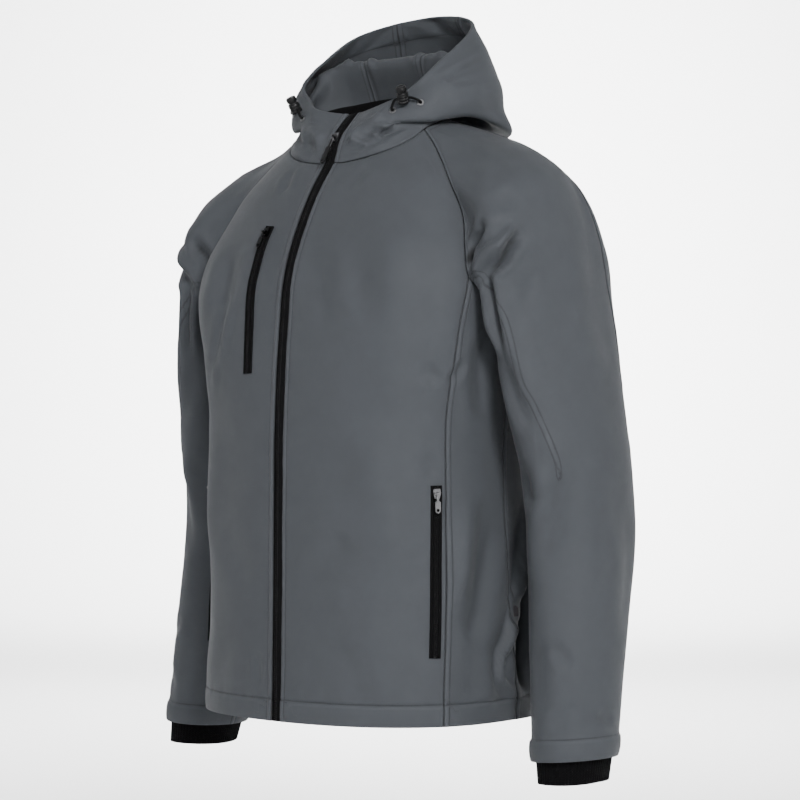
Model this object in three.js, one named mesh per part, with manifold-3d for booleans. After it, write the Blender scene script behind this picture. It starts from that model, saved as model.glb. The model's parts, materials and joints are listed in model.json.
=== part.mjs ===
// A men's hooded softshell jacket, worn shape with no wearer, zipped up and hood down.
// Millimetres, +Z up. The wearer faces -Y, and the wearer's left is +X.
// The origin is the middle of the neck opening, at the level of the side of the neck.
// Every cloth panel is a thin wall over one of three forms: torso, sleeve or hood.
import * as THREE from "three";
import { mergeVertices } from "three/addons/utils/BufferGeometryUtils.js";
import Module from "manifold-3d";

const wasm = await Module();
wasm.setup();

// Driving dimensions
const CLOTH = 2.2;
const SEAM_GAP = 0.3;
const NECK_GAP = 0.5;
const SHARPEST_SEAM = 0.55;
const FOLD_SHARE = 0.7;
const HEM_Z = -700;
const FRONT_NECK_Z = -51;
const BACK_NECK_Z = 15;
const ARMHOLE_Z = -190;
const ARMPIT_Z = -212;
const HEM_BAND = 25;
const HEM_SWELL = 1.4;
const SLEEVE_HEM_FROM = 0.966;
const ZIP_HALF_WIDTH = 7;
const ZIP_TAPE = 1.2;
const CORD_RADIUS = 1.5;
const CORD_SIDES = 8;
const CORD_STEPS = 26;
const RAD = Math.PI / 180;

// Torso sections: height, half width, front depth, back depth, squareness in front and behind
const TORSO = [
  { z: -700, half: 201, front: 168, back: 142, square: 2.4, squareBack: 3.0 },
  { z: -560, half: 198, front: 166, back: 136, square: 2.4, squareBack: 3.0 },
  { z: -445, half: 195, front: 164.5, back: 131, square: 2.4, squareBack: 3.0 },
  { z: -344, half: 198, front: 163, back: 131, square: 2.5, squareBack: 2.9 },
  { z: -283, half: 205, front: 159, back: 134, square: 2.8, squareBack: 2.9 },
  { z: -241, half: 210, front: 155, back: 136, square: 3.0, squareBack: 3.0 },
  { z: -200, half: 213, front: 150, back: 138, square: 3.0, squareBack: 3.0 },
  { z: -158, half: 208, front: 138, back: 138, square: 2.8, squareBack: 2.8 },
  { z: -117, half: 192, front: 119, back: 132, square: 2.5, squareBack: 2.5 },
  { z: -75, half: 168, front: 94, back: 118, square: 2.4, squareBack: 2.4 },
  { z: -51, half: 147, front: 76, back: 106, square: 2.3, squareBack: 2.3 },
  { z: -13, half: 108, front: 50, back: 84, square: 2.2, squareBack: 2.2 },
  { z: 15, half: 90, front: 36, back: 66, square: 2.2, squareBack: 2.2 },
];
// Raglan seams: how far from the middle they run at each height
const FRONT_RAGLAN = [
  { z: -190, x: 205 },
  { z: -152, x: 196 },
  { z: -117, x: 182 },
  { z: -78, x: 158 },
  { z: -45, x: 131 },
  { z: -13, x: 100 },
];
const BACK_RAGLAN = [
  { z: -190, x: 203 },
  { z: -152, x: 188 },
  { z: -117, x: 168 },
  { z: -78, x: 140 },
  { z: -40, x: 108 },
  { z: 8, x: 66 },
];
// Upright seams, as angles round the torso from the front
const FRONT_SIDE_SEAM = [
  { z: -700, angle: 63 },
  { z: -445, angle: 65.5 },
  { z: -347, angle: 65 },
  { z: -264, angle: 68 },
  { z: -190, angle: 69.7 },
];
const SIDE_BACK_SEAM = [
  { z: -700, angle: 94 },
  { z: -445, angle: 91 },
  { z: -300, angle: 91 },
  { z: -212, angle: 91 },
];
// Sleeve sections: outer and inner point, half depth, middle depth, squareness
const SLEEVE = [
  { s: 0.0, outer: [99, 16, 1], inner: [212, 5, -212], deep: 70, mid: 2, square: 2.2 },
  { s: 0.1, outer: [149, 44, -17], inner: [215, 8, -218], deep: 80, mid: 6, square: 2.3 },
  { s: 0.2, outer: [209, 44, -43], inner: [217, 12, -224], deep: 93, mid: 12, square: 2.5 },
  { s: 0.28, outer: [251, 42, -78], inner: [217, 16, -230], deep: 101, mid: 20, square: 2.4 },
  { s: 0.34, outer: [268, 42, -128], inner: [216, 22, -238], deep: 104, mid: 28, square: 2.3 },
  { s: 0.42, outer: [280, 39, -200], inner: [213, 30, -264], deep: 105, mid: 35, square: 2.1 },
  { s: 0.52, outer: [301, 42, -310], inner: [213, 40, -335], deep: 96, mid: 42, square: 2.1 },
  { s: 0.62, outer: [320, 51, -410], inner: [220, 50, -420], deep: 84, mid: 50, square: 2.0 },
  { s: 0.68, outer: [321, 56, -465], inner: [220, 56, -470], deep: 82, mid: 55, square: 2.0 },
  { s: 0.84, outer: [329, 35, -618], inner: [234, 35, -622], deep: 66, mid: 35, square: 2.0 },
  { s: 1.0, outer: [333, 17, -733], inner: [246, 17, -739], deep: 57, mid: 17, square: 2.0 },
];
const SLEEVE_BLEND = 0.45;
// The sleeve's seam over the back of the shoulder and down the outer back of the arm
const SLEEVE_BACK_SEAM = [
  { s: 0.0, angle: -12 },
  { s: 0.1, angle: -12 },
  { s: 0.2, angle: -16 },
  { s: 0.28, angle: -26 },
  { s: 0.42, angle: -44 },
  { s: 0.52, angle: -58 },
  { s: 0.68, angle: -75 },
  { s: 1.0, angle: -85 },
];
const SLEEVE_UNDER_SEAM = 180;
// Hood lines from neck seam to brim, one row a line, at points that go round the neck:
// neck seam, stand, fold's front and back, drop into the bag, the bag's floor, its outside, brim
const HOOD_V = [0, 0.15, 0.28, 0.34, 0.45, 0.56, 0.62, 0.78, 0.9, 1];
const HOOD = [
  { w: 0.0, line: [[7, -76, -51], [7, -72, -40], [7, -68, -30], [7, -66, -26], [7, -61, -18],
    [7, -56, -11], [7, -53, -8], [7, -44, 1], [7, -37, 7], [7, -31, 11]] },
  { w: 0.2, line: [[50, -62, -43], [53, -62, -33], [55, -61, -24], [55, -60, -20], [55, -58, -13],
    [55, -55, -6], [55, -53, -2], [53, -48, 7], [51, -43, 13], [48, -38, 18]] },
  { w: 0.4, line: [[92, -24, -18], [89, -22, -6], [85, -19, 12], [89, -18, 15], [94, -18, 5],
    [97, -19, -4], [102, -22, -5], [104, -26, 9], [92, -27, 25], [73, -26, 31]] },
  { w: 0.6, line: [[99, 16, 1], [104, 14, 24], [101, 14, 46], [107, 16, 49], [111, 22, 30],
    [119, 30, 6], [129, 34, 3], [136, 27, 26], [120, 9, 50], [99, -6, 60]] },
  { w: 0.8, line: [[72, 44, 9], [80, 42, 42], [86, 36, 78], [93, 42, 80], [98, 60, 45],
    [109, 88, -2], [125, 102, -14], [126, 101, 25], [108, 91, 88], [94, 79, 121]] },
  { w: 1.0, line: [[0, 66, 15], [0, 54, 48], [0, 42, 80], [0, 52, 83], [0, 68, 45],
    [0, 98, -14], [0, 128, -24], [0, 150, 25], [0, 142, 92], [0, 120, 143]] },
];
const HOOD_SEAM_W = 0.9;

// A cubic through a table's columns, with slopes from its neighbours
function splineAt(xs, ys, x) {
  let k = 0;
  while (k < xs.length - 2 && x >= xs[k + 1]) k++;
  const h = xs[k + 1] - xs[k];
  const t = Math.min(1, Math.max(0, (x - xs[k]) / h));
  const rise = (i) => (ys[i + 1] - ys[i]) / (xs[i + 1] - xs[i]);
  const slope = (i) => {
    if (i === 0) return rise(0);
    if (i === xs.length - 1) return rise(i - 1);
    const w = (xs[i + 1] - xs[i]) / (xs[i + 1] - xs[i - 1]);
    return rise(i - 1) * w + rise(i) * (1 - w);
  };
  return (
    ys[k] * (1 + 2 * t) * (1 - t) ** 2 +
    slope(k) * h * t * (1 - t) ** 2 +
    ys[k + 1] * t * t * (3 - 2 * t) +
    slope(k + 1) * h * t * t * (t - 1)
  );
}

function column(table, key, name, x) {
  return splineAt(table.map((r) => r[key]), table.map((r) => r[name]), x);
}

function pointColumn(table, key, name, x) {
  const xs = table.map((r) => r[key]);
  return [0, 1, 2].map((i) => splineAt(xs, table.map((r) => r[name][i]), x));
}

const lerp = (a, b, t) => a + (b - a) * t;
const signedPower = (v, e) => Math.sign(v) * Math.abs(v) ** e;
const smooth = (t) => t * t * (3 - 2 * t);
const steps = (n) => Array.from({ length: n + 1 }, (_, i) => i / n);

// A point on the torso, by the angle from the front in degrees and the height
function torso(angle, z) {
  const s = Math.sin(angle * RAD);
  const c = Math.cos(angle * RAD);
  const half = column(TORSO, "z", "half", z);
  const deep = column(TORSO, "z", c > 0 ? "front" : "back", z);
  const e = 2 / column(TORSO, "z", c > 0 ? "square" : "squareBack", z);
  return [half * signedPower(s, e), -deep * signedPower(c, e), z];
}

// The angle at which the torso is x wide at height z, on its front or its back
function torsoAngle(x, z, onBack) {
  const half = column(TORSO, "z", "half", z);
  const square = column(TORSO, "z", onBack ? "squareBack" : "square", z);
  const angle = Math.asin(Math.min(1, (x / half) ** (square / 2))) / RAD;
  return onBack ? 180 - angle : angle;
}

// Angle to length round the torso from the front, and back
const RING_STEPS = 120;
const ringLengths = new Map();
function lengthsAt(z) {
  const key = z.toFixed(3);
  if (!ringLengths.has(key)) {
    const lengths = [0];
    let last = torso(0, z);
    for (let i = 1; i <= RING_STEPS; i++) {
      const next = torso((180 * i) / RING_STEPS, z);
      lengths.push(lengths[i - 1] + Math.hypot(next[0] - last[0], next[1] - last[1]));
      last = next;
    }
    ringLengths.set(key, lengths);
  }
  return ringLengths.get(key);
}
function lengthOfAngle(angle, z) {
  const at = (angle / 180) * RING_STEPS;
  const i = Math.min(RING_STEPS - 1, Math.floor(at));
  const lengths = lengthsAt(z);
  return lerp(lengths[i], lengths[i + 1], at - i);
}
function angleOfLength(length, z) {
  const lengths = lengthsAt(z);
  let i = 0;
  while (i < RING_STEPS - 1 && lengths[i + 1] < length) i++;
  const t = (length - lengths[i]) / (lengths[i + 1] - lengths[i]);
  return ((i + t) * 180) / RING_STEPS;
}

const frontRaglanAngle = (z) => torsoAngle(column(FRONT_RAGLAN, "z", "x", z), z, false);
const backRaglanAngle = (z) => torsoAngle(column(BACK_RAGLAN, "z", "x", z), z, true);

// The armhole as (angle, height) places on the torso, in its four stretches
const RAGLAN_STEPS = 7;
const UNDER_STEPS = 3;
const FRONT_NECK_CORNER_Z = FRONT_RAGLAN.at(-1).z;
const BACK_NECK_CORNER_Z = BACK_RAGLAN.at(-1).z;
const frontRaglan = steps(RAGLAN_STEPS).map((t) => {
  const z = lerp(ARMHOLE_Z, FRONT_NECK_CORNER_Z, t);
  return { angle: frontRaglanAngle(z), z };
});
const backRaglan = steps(RAGLAN_STEPS).map((t) => {
  const z = lerp(ARMHOLE_Z, BACK_NECK_CORNER_Z, t);
  return { angle: backRaglanAngle(z), z };
});
function underCurve(corner) {
  return steps(UNDER_STEPS).map((t) => ({
    angle: lerp(corner.angle, SIDE_BACK_SEAM.at(-1).angle, t),
    z: lerp(corner.z, ARMPIT_Z, Math.sin((t * Math.PI) / 2)),
  }));
}
const frontUnder = underCurve(frontRaglan[0]);
const backUnder = underCurve(backRaglan[0]);
const placeOf = (n) => torso(n.angle, n.z);

// The neck's side, between the two raglan seams
const NECK_SIDE = [99, 16, 1];
const NECK_STEPS = 2;
const frontCorner = placeOf(frontRaglan.at(-1));
const backCorner = placeOf(backRaglan.at(-1));
function neckSide(t) {
  return [0, 1, 2].map((i) => splineAt([0, 0.5, 1], [frontCorner[i], NECK_SIDE[i], backCorner[i]], t));
}

// The armhole's ring of points, from the back seam round the front, under and up the back
const neckPoints = steps(2 * NECK_STEPS).map(neckSide);
const armholeRing = [
  ...neckPoints.slice(0, NECK_STEPS + 2).reverse(),
  ...frontRaglan.slice(0, -1).reverse().map(placeOf),
  ...frontUnder.slice(1).map(placeOf),
  ...backUnder.slice(0, -1).reverse().map(placeOf),
  ...backRaglan.slice(1).map(placeOf),
  ...neckPoints.slice(NECK_STEPS + 1, -1).reverse(),
];
const LEAST_TURN = 4;
const UNDER_NODE = NECK_STEPS + 1 + RAGLAN_STEPS + UNDER_STEPS;

// Each armhole point gets the angle at which the sleeve's first section passes it
function armholeAngles() {
  const { outer, inner } = SLEEVE[0];
  const middle = outer.map((v, i) => (v + inner[i]) / 2);
  const half = outer.map((v, i) => (v - inner[i]) / 2);
  const size = half.reduce((sum, v) => sum + v * v, 0);
  const first = SLEEVE_BACK_SEAM[0].angle;
  const raw = armholeRing.map((p, i) => {
    const k = p.reduce((sum, v, j) => sum + (v - middle[j]) * half[j], 0) / size;
    const angle = Math.acos(Math.min(1, Math.max(-1, k))) / RAD;
    return i < UNDER_NODE ? angle : 360 - angle;
  });
  raw[0] = first;
  raw[1] = 0;
  raw[UNDER_NODE] = SLEEVE_UNDER_SEAM;
  raw[raw.length - 1] = 360 + first;
  for (let i = 2; i < UNDER_NODE; i++) raw[i] = Math.max(raw[i], raw[i - 1] + LEAST_TURN);
  for (let i = raw.length - 2; i > UNDER_NODE; i--) raw[i] = Math.min(raw[i], raw[i + 1] - LEAST_TURN);
  return raw;
}
const ringAngles = armholeAngles();

function sleeveSection(angle, s) {
  const outer = pointColumn(SLEEVE, "s", "outer", s);
  const inner = pointColumn(SLEEVE, "s", "inner", s);
  const e = 2 / column(SLEEVE, "s", "square", s);
  const along = signedPower(Math.cos(angle * RAD), e);
  const across = signedPower(Math.sin(angle * RAD), e);
  const p = outer.map((v, i) => (v + inner[i]) / 2 + ((v - inner[i]) / 2) * along);
  const mid = column(SLEEVE, "s", "mid", s);
  const lean = along > 0 ? outer[1] - mid : inner[1] - mid;
  p[1] = mid + lean * along * along - column(SLEEVE, "s", "deep", s) * across;
  return p;
}

// A point on the sleeve: the section's own point, eased into the armhole near the shoulder
function sleeve(angle, s) {
  const p = sleeveSection(angle, s);
  if (s >= SLEEVE_BLEND) return p;
  const turned = ringAngles[0] + ((((angle - ringAngles[0]) % 360) + 360) % 360);
  let i = 0;
  while (i < ringAngles.length - 2 && ringAngles[i + 1] < turned) i++;
  const t = (turned - ringAngles[i]) / (ringAngles[i + 1] - ringAngles[i]);
  const first = sleeveSection(angle, 0);
  const share = smooth(1 - s / SLEEVE_BLEND);
  return p.map((v, j) => v + (lerp(armholeRing[i][j], armholeRing[i + 1][j], t) - first[j]) * share);
}

// A point on the hood: w goes from the left front edge (0) by the back (1) to the right (2)
const mirrored = ([x, y, z]) => [-x, y, z];
const hoodLines = [
  ...HOOD,
  ...HOOD.slice(0, -1).reverse().map(({ w, line }) => ({ w: 2 - w, line: line.map(mirrored) })),
];
function hood(w, v) {
  const ws = hoodLines.map((c) => c.w);
  return [0, 1, 2].map((i) =>
    splineAt(ws, hoodLines.map((c) => splineAt(HOOD_V, c.line.map((p) => p[i]), v)), w),
  );
}

// Walls. A panel is a grid of outer points; its inner points lie CLOTH further in.
const vec = (p) => new THREE.Vector3(...p);

function gridNormals(grid, flip) {
  const rows = grid.length;
  const cols = grid[0].length;
  return grid.map((row, i) =>
    row.map((_, j) => {
      const a = vec(grid[Math.min(rows - 1, i + 1)][j]).sub(vec(grid[Math.max(0, i - 1)][j]));
      const b = vec(row[Math.min(cols - 1, j + 1)]).sub(vec(row[Math.max(0, j - 1)]));
      return a.cross(b).normalize().multiplyScalar(flip ? -1 : 1);
    }),
  );
}

// Neighbouring panels share one direction at each seam point, so that their walls meet squarely
const seamBook = new Map();
const seamKey = (p) => p.map((v) => Math.round(v * 10)).join();
function onEdge(grid, i, j) {
  return i === 0 || j === 0 || i === grid.length - 1 || j === grid[0].length - 1;
}
function enter(panel) {
  panel.normals = gridNormals(panel.grid, panel.flip);
  panel.grid.forEach((row, i) =>
    row.forEach((p, j) => {
      if (!onEdge(panel.grid, i, j)) return;
      const key = seamKey(p);
      seamBook.set(key, (seamBook.get(key) ?? new THREE.Vector3()).add(panel.normals[i][j]));
    }),
  );
}

function pulledIn(grid, i, j, footGap) {
  const p = vec(grid[i][j]);
  const shift = new THREE.Vector3();
  const toward = (k, l, gap = SEAM_GAP / 2) => {
    const d = vec(grid[k][l]).sub(p);
    shift.add(d.setLength(Math.min(gap, d.length() / 3)));
  };
  if (i === 0) toward(1, j, footGap);
  if (i === grid.length - 1) toward(i - 1, j);
  if (j === 0) toward(i, 1);
  if (j === grid[0].length - 1) toward(i, j - 1);
  return p.add(shift);
}

// A closed solid between two grids of the same size
function between(outside, inside, flip) {
  const rows = outside.length;
  const cols = outside[0].length;
  const positions = [...outside.flat(), ...inside.flat()].flatMap((p) => [p.x, p.y, p.z]);
  const index = [];
  const at = (i, j, layer) => layer * rows * cols + i * cols + j;
  const quad = (a, b, c, d) => {
    if (flip) index.push(a, c, b, a, d, c);
    else index.push(a, b, c, a, c, d);
  };
  for (let i = 0; i < rows - 1; i++)
    for (let j = 0; j < cols - 1; j++) {
      quad(at(i, j, 0), at(i + 1, j, 0), at(i + 1, j + 1, 0), at(i, j + 1, 0));
      quad(at(i, j, 1), at(i, j + 1, 1), at(i + 1, j + 1, 1), at(i + 1, j, 1));
    }
  // An edge face is split from its higher outer corner, so that seam neighbours split alike
  const edge = (i, j, k, l) => {
    const corners = [at(i, j, 0), at(k, l, 0), at(k, l, 1), at(i, j, 1)];
    if (outside[i][j].z > outside[k][l].z) quad(...corners);
    else quad(...corners.slice(1), corners[0]);
  };
  for (let j = 0; j < cols - 1; j++) {
    edge(0, j, 0, j + 1);
    edge(rows - 1, j + 1, rows - 1, j);
  }
  for (let i = 0; i < rows - 1; i++) {
    edge(i + 1, 0, i, 0);
    edge(i, cols - 1, i + 1, cols - 1);
  }
  const geometry = new THREE.BufferGeometry();
  geometry.setAttribute("position", new THREE.Float32BufferAttribute(positions, 3));
  geometry.setIndex(index);
  return geometry;
}

// In a tight fold the wall is thinner, so that its inner face doesn't cross itself
function roomInside(grid, normals, i, j) {
  const p = vec(grid[i][j]);
  const pairs = [
    [grid[i - 1]?.[j], grid[i + 1]?.[j]],
    [grid[i][j - 1], grid[i][j + 1]],
  ];
  const radii = pairs
    .filter(([before, after]) => before && after)
    .map(([before, after]) => {
      const a = vec(before).sub(p);
      const b = vec(after).sub(p);
      const bend = -a.clone().add(b).dot(normals[i][j]);
      return bend > 0 ? (a.lengthSq() + b.lengthSq()) / 2 / bend : Infinity;
    });
  return FOLD_SHARE * Math.min(...radii);
}

function panelGeometry({ grid, normals, flip, swell = () => 0, footGap = SEAM_GAP / 2 }) {
  const outside = [];
  const inside = [];
  grid.forEach((row, i) => {
    outside.push([]);
    inside.push([]);
    row.forEach((p, j) => {
      const own = normals[i][j];
      const book = onEdge(grid, i, j) ? seamBook.get(seamKey(p)).clone().normalize() : own;
      const sharp = own.dot(book) < SHARPEST_SEAM;
      const shared = sharp ? own : book;
      const depth = Math.min(CLOTH, roomInside(grid, normals, i, j)) / own.dot(shared);
      const base = pulledIn(grid, i, j, footGap).addScaledVector(own, sharp ? -SEAM_GAP : 0);
      outside[i].push(base.clone().addScaledVector(shared, swell(i, j)));
      inside[i].push(base.clone().addScaledVector(shared, -depth));
    });
  });
  return between(outside, inside, flip);
}

// A closed tube wall between rings of points, open at both ends
function tubeGeometry(outerRings, innerRings) {
  const count = outerRings[0].length;
  const loop = [...outerRings, ...innerRings.slice().reverse()];
  const positions = loop.flat().flatMap((p) => [p.x, p.y, p.z]);
  const index = [];
  for (let i = 0; i < loop.length; i++)
    for (let j = 0; j < count; j++) {
      const [a, b] = [i * count, ((i + 1) % loop.length) * count];
      const k = (j + 1) % count;
      index.push(a + j, b + k, b + j, a + j, a + k, b + k);
    }
  const geometry = new THREE.BufferGeometry();
  geometry.setAttribute("position", new THREE.Float32BufferAttribute(positions, 3));
  geometry.setIndex(index);
  return geometry;
}

function solidOf(geometry) {
  const plain = geometry.clone();
  plain.deleteAttribute("normal");
  plain.deleteAttribute("uv");
  const merged = mergeVertices(plain, 1e-4);
  return new wasm.Manifold(
    new wasm.Mesh({
      numProp: 3,
      vertProperties: merged.attributes.position.array,
      triVerts: new Uint32Array(merged.index.array),
    }),
  );
}
function geometryOf(solid) {
  const mesh = solid.getMesh();
  const geometry = new THREE.BufferGeometry();
  geometry.setAttribute("position", new THREE.Float32BufferAttribute(mesh.vertProperties, 3));
  geometry.setIndex([...mesh.triVerts]);
  return geometry;
}

// Materials
const CLOTH_GREY = new THREE.MeshStandardMaterial({ color: 0x5b5f66, roughness: 0.85, metalness: 0 });
const RIB_BLACK = new THREE.MeshStandardMaterial({ color: 0x0b0b0c, roughness: 0.95, metalness: 0 });
const TAPE_BLACK = new THREE.MeshStandardMaterial({ color: 0x111213, roughness: 0.7, metalness: 0 });
const PLASTIC_BLACK = new THREE.MeshStandardMaterial({ color: 0x0d0d0e, roughness: 0.4, metalness: 0 });
const SLIDER_METAL = new THREE.MeshStandardMaterial({ color: 0x4a4d50, roughness: 0.35, metalness: 0.8 });
const LABEL_DARK = new THREE.MeshStandardMaterial({ color: 0x2a2030, roughness: 0.9, metalness: 0 });

const jacket = new THREE.Group();
function add(name, geometry, material) {
  const mesh = new THREE.Mesh(geometry, material);
  mesh.name = name;
  jacket.add(mesh);
  return mesh;
}

// Body panels
const BODY_ROWS = 9;
const bodyHeights = (top) => [
  HEM_Z,
  HEM_Z + HEM_BAND - 2,
  HEM_Z + HEM_BAND,
  ...steps(BODY_ROWS).slice(1).map((t) => lerp(HEM_Z + HEM_BAND, top, t)),
];
// The hem is turned up and stitched: it stands a little proud, with a groove at its stitching
function hemSwell(i) {
  return [HEM_SWELL, HEM_SWELL, -0.5][i] ?? 0;
}

const seamAngle = (table, z) => column(table, "z", "angle", z);

// One row of a panel, evenly spaced round the torso between two places
function torsoRow(from, to, count, bend) {
  return steps(count).map((t) => {
    const z = lerp(from.z, to.z, bend(t));
    const a = lengthOfAngle(from.angle, z);
    const b = lengthOfAngle(to.angle, z);
    return torso(angleOfLength(lerp(a, b, t), z), z);
  });
}

const FRONT_COLUMNS = 8;
const SIDE_COLUMNS = 3;
const BACK_COLUMNS = 7;

function frontGrid() {
  const heights = bodyHeights(ARMHOLE_Z);
  const edge = [
    ...heights.map((z) => ({ angle: seamAngle(FRONT_SIDE_SEAM, z), z })),
    ...frontRaglan.slice(1),
  ];
  edge[heights.length - 1] = frontRaglan[0];
  return edge.map((to) => {
    const above = Math.max(0, (to.z - ARMHOLE_Z) / (FRONT_NECK_CORNER_Z - ARMHOLE_Z));
    const z = above > 0 ? lerp(ARMHOLE_Z, FRONT_NECK_Z, above) : to.z;
    const from = { angle: torsoAngle(ZIP_HALF_WIDTH, z, false), z };
    return torsoRow(from, to, FRONT_COLUMNS, (t) => t ** 1.8);
  });
}

function sideGrid() {
  const heights = bodyHeights(ARMHOLE_Z);
  const low = bodyHeights(ARMPIT_Z);
  return heights.map((z, i) => {
    const top = i === heights.length - 1;
    if (top) return frontUnder.map(placeOf);
    const from = { angle: seamAngle(FRONT_SIDE_SEAM, z), z };
    const to = { angle: seamAngle(SIDE_BACK_SEAM, low[i]), z: low[i] };
    return torsoRow(from, to, SIDE_COLUMNS, (t) => t);
  });
}

function backGrid() {
  const low = bodyHeights(ARMPIT_Z);
  const edge = [
    ...low.map((z) => ({ angle: seamAngle(SIDE_BACK_SEAM, z), z })),
    ...backUnder.slice(0, -1).reverse(),
    ...backRaglan.slice(1),
  ];
  return edge.map((from) => {
    const above = Math.max(0, (from.z - ARMPIT_Z) / (BACK_NECK_CORNER_Z - ARMPIT_Z));
    const z = above > 0 ? lerp(ARMPIT_Z, BACK_NECK_Z, above) : from.z;
    const middle = torsoRow(from, { angle: 180, z }, BACK_COLUMNS, (t) => 1 - (1 - t) ** 1.8);
    return [...middle, ...middle.slice(0, -1).reverse().map(mirrored)];
  });
}

// Sleeve panels: columns spread evenly between the back seam and the under seam
const SLEEVE_STATIONS = [
  0, 0.05, 0.1, 0.15, 0.2, 0.25, 0.3, 0.36, 0.43, 0.5, 0.57, 0.64, 0.71, 0.8, 0.89,
  SLEEVE_HEM_FROM, SLEEVE_HEM_FROM + 0.003, 1,
];
function sleeveRow(s, onBack) {
  const angles = onBack ? ringAngles.slice(UNDER_NODE) : ringAngles.slice(0, UNDER_NODE + 1);
  const seam = column(SLEEVE_BACK_SEAM, "s", "angle", s);
  const [from, to] = onBack ? [SLEEVE_UNDER_SEAM, seam + 360] : [seam, SLEEVE_UNDER_SEAM];
  return angles.map((angle) => {
    const share = (angle - angles[0]) / (angles.at(-1) - angles[0]);
    return sleeve(lerp(from, to, share), s);
  });
}
const sleeveGrid = (onBack) => SLEEVE_STATIONS.map((s) => sleeveRow(s, onBack));

// Hood panels: their columns start at the points of the neck seam
const HOOD_ROWS = [0, 0.08, 0.15, 0.22, 0.28, 0.34, 0.4, 0.46, 0.52, 0.57, 0.62, 0.7, 0.78, 0.86, 0.93, 1];
const HOOD_CENTRE_COLUMNS = 4;
const HOOD_EASE = 0.3;
const BRIM_SWELL = 1.2;

function neckLine(frontRow, backRow) {
  return [...frontRow, ...neckPoints.slice(1, -1), ...backRow.slice(0, BACK_COLUMNS + 1)];
}
function lengthsAlong(points) {
  const lengths = [0];
  for (let i = 1; i < points.length; i++)
    lengths.push(lengths[i - 1] + vec(points[i]).distanceTo(vec(points[i - 1])));
  return lengths;
}
function hoodGrid(neck) {
  const tableLengths = lengthsAlong(HOOD.map((row) => row.line[0]));
  const lengths = lengthsAlong(neck);
  const share = tableLengths.at(-1) / lengths.at(-1);
  const ws = lengths.map((length) => {
    let i = 0;
    while (i < HOOD.length - 2 && tableLengths[i + 1] < length * share) i++;
    const t = (length * share - tableLengths[i]) / (tableLengths[i + 1] - tableLengths[i]);
    return lerp(HOOD[i].w, HOOD[i + 1].w, Math.min(1, t));
  });
  return HOOD_ROWS.map((v) => {
    const fade = Math.max(0, 1 - v / HOOD_EASE);
    const half = neck.map((start, i) => {
      const first = hood(ws[i], 0);
      return hood(ws[i], v).map((value, k) => value + (start[k] - first[k]) * fade);
    });
    return [...half, ...half.slice(0, -1).reverse().map(mirrored)];
  });
}

const mirrorGrid = (grid) => grid.map((row) => row.map(mirrored));
const front = frontGrid();
const side = sideGrid();
const back = backGrid();
const sleeveFront = sleeveGrid(false);
const sleeveBack = sleeveGrid(true);
const hoodAll = hoodGrid(neckLine(front.at(-1), back.at(-1)));
const hoodMiddle = (hoodAll[0].length - 1) / 2;
const hoodPart = (from, to) => hoodAll.map((row) => row.slice(from, to + 1));
const hoodSeam = hoodMiddle - HOOD_CENTRE_COLUMNS;

const fromEnd = (swell, rows) => (i) => swell(rows - 1 - i);
const cuffSwell = fromEnd(hemSwell, SLEEVE_STATIONS.length);
const brimSwell = fromEnd((i) => (i < 2 ? BRIM_SWELL : 0), HOOD_ROWS.length);
const panels = [
  { name: "front_left", grid: front, swell: hemSwell, flip: true },
  { name: "front_right", grid: mirrorGrid(front), swell: hemSwell },
  { name: "side_left", grid: side, swell: hemSwell, flip: true },
  { name: "side_right", grid: mirrorGrid(side), swell: hemSwell },
  { name: "back", grid: back, swell: hemSwell, flip: true },
  { name: "sleeve_front_left", grid: sleeveFront, swell: cuffSwell, flip: true },
  { name: "sleeve_front_right", grid: mirrorGrid(sleeveFront), swell: cuffSwell },
  { name: "sleeve_back_left", grid: sleeveBack, swell: cuffSwell, flip: true },
  { name: "sleeve_back_right", grid: mirrorGrid(sleeveBack), swell: cuffSwell },
  {
    name: "hood_side_left",
    grid: hoodPart(0, hoodSeam),
    swell: brimSwell,
    footGap: NECK_GAP,
    flip: true,
  },
  {
    name: "hood_centre",
    grid: hoodPart(hoodSeam, 2 * hoodMiddle - hoodSeam),
    swell: brimSwell,
    footGap: NECK_GAP,
    flip: true,
  },
  {
    name: "hood_side_right",
    grid: mirrorGrid(hoodPart(0, hoodSeam)),
    swell: brimSwell,
    footGap: NECK_GAP,
  },
];
panels.forEach(enter);
panels.forEach((panel) => add(panel.name, panelGeometry(panel), CLOTH_GREY));

// A place on a panel's own faces, by row and column, with the direction out of the cloth
function onPanel(panel, row, col) {
  const i = Math.min(panel.grid.length - 2, Math.floor(row));
  const j = Math.min(panel.grid[0].length - 2, Math.floor(col));
  const mix = (from) => {
    const a = from(i, j).clone().lerp(from(i, j + 1), col - j);
    const b = from(i + 1, j).clone().lerp(from(i + 1, j + 1), col - j);
    return a.lerp(b, row - i);
  };
  return {
    point: mix((k, l) => vec(panel.grid[k][l])),
    out: mix((k, l) => panel.normals[k][l]).normalize(),
  };
}
function rowAtHeight(panel, z, col) {
  let i = 0;
  while (i < panel.grid.length - 2 && onPanel(panel, i + 1, col).point.z < z) i++;
  const low = onPanel(panel, i, col).point.z;
  const high = onPanel(panel, i + 1, col).point.z;
  return i + (z - low) / (high - low);
}
const panelNamed = (name) => panels.find((panel) => panel.name === name);

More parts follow.
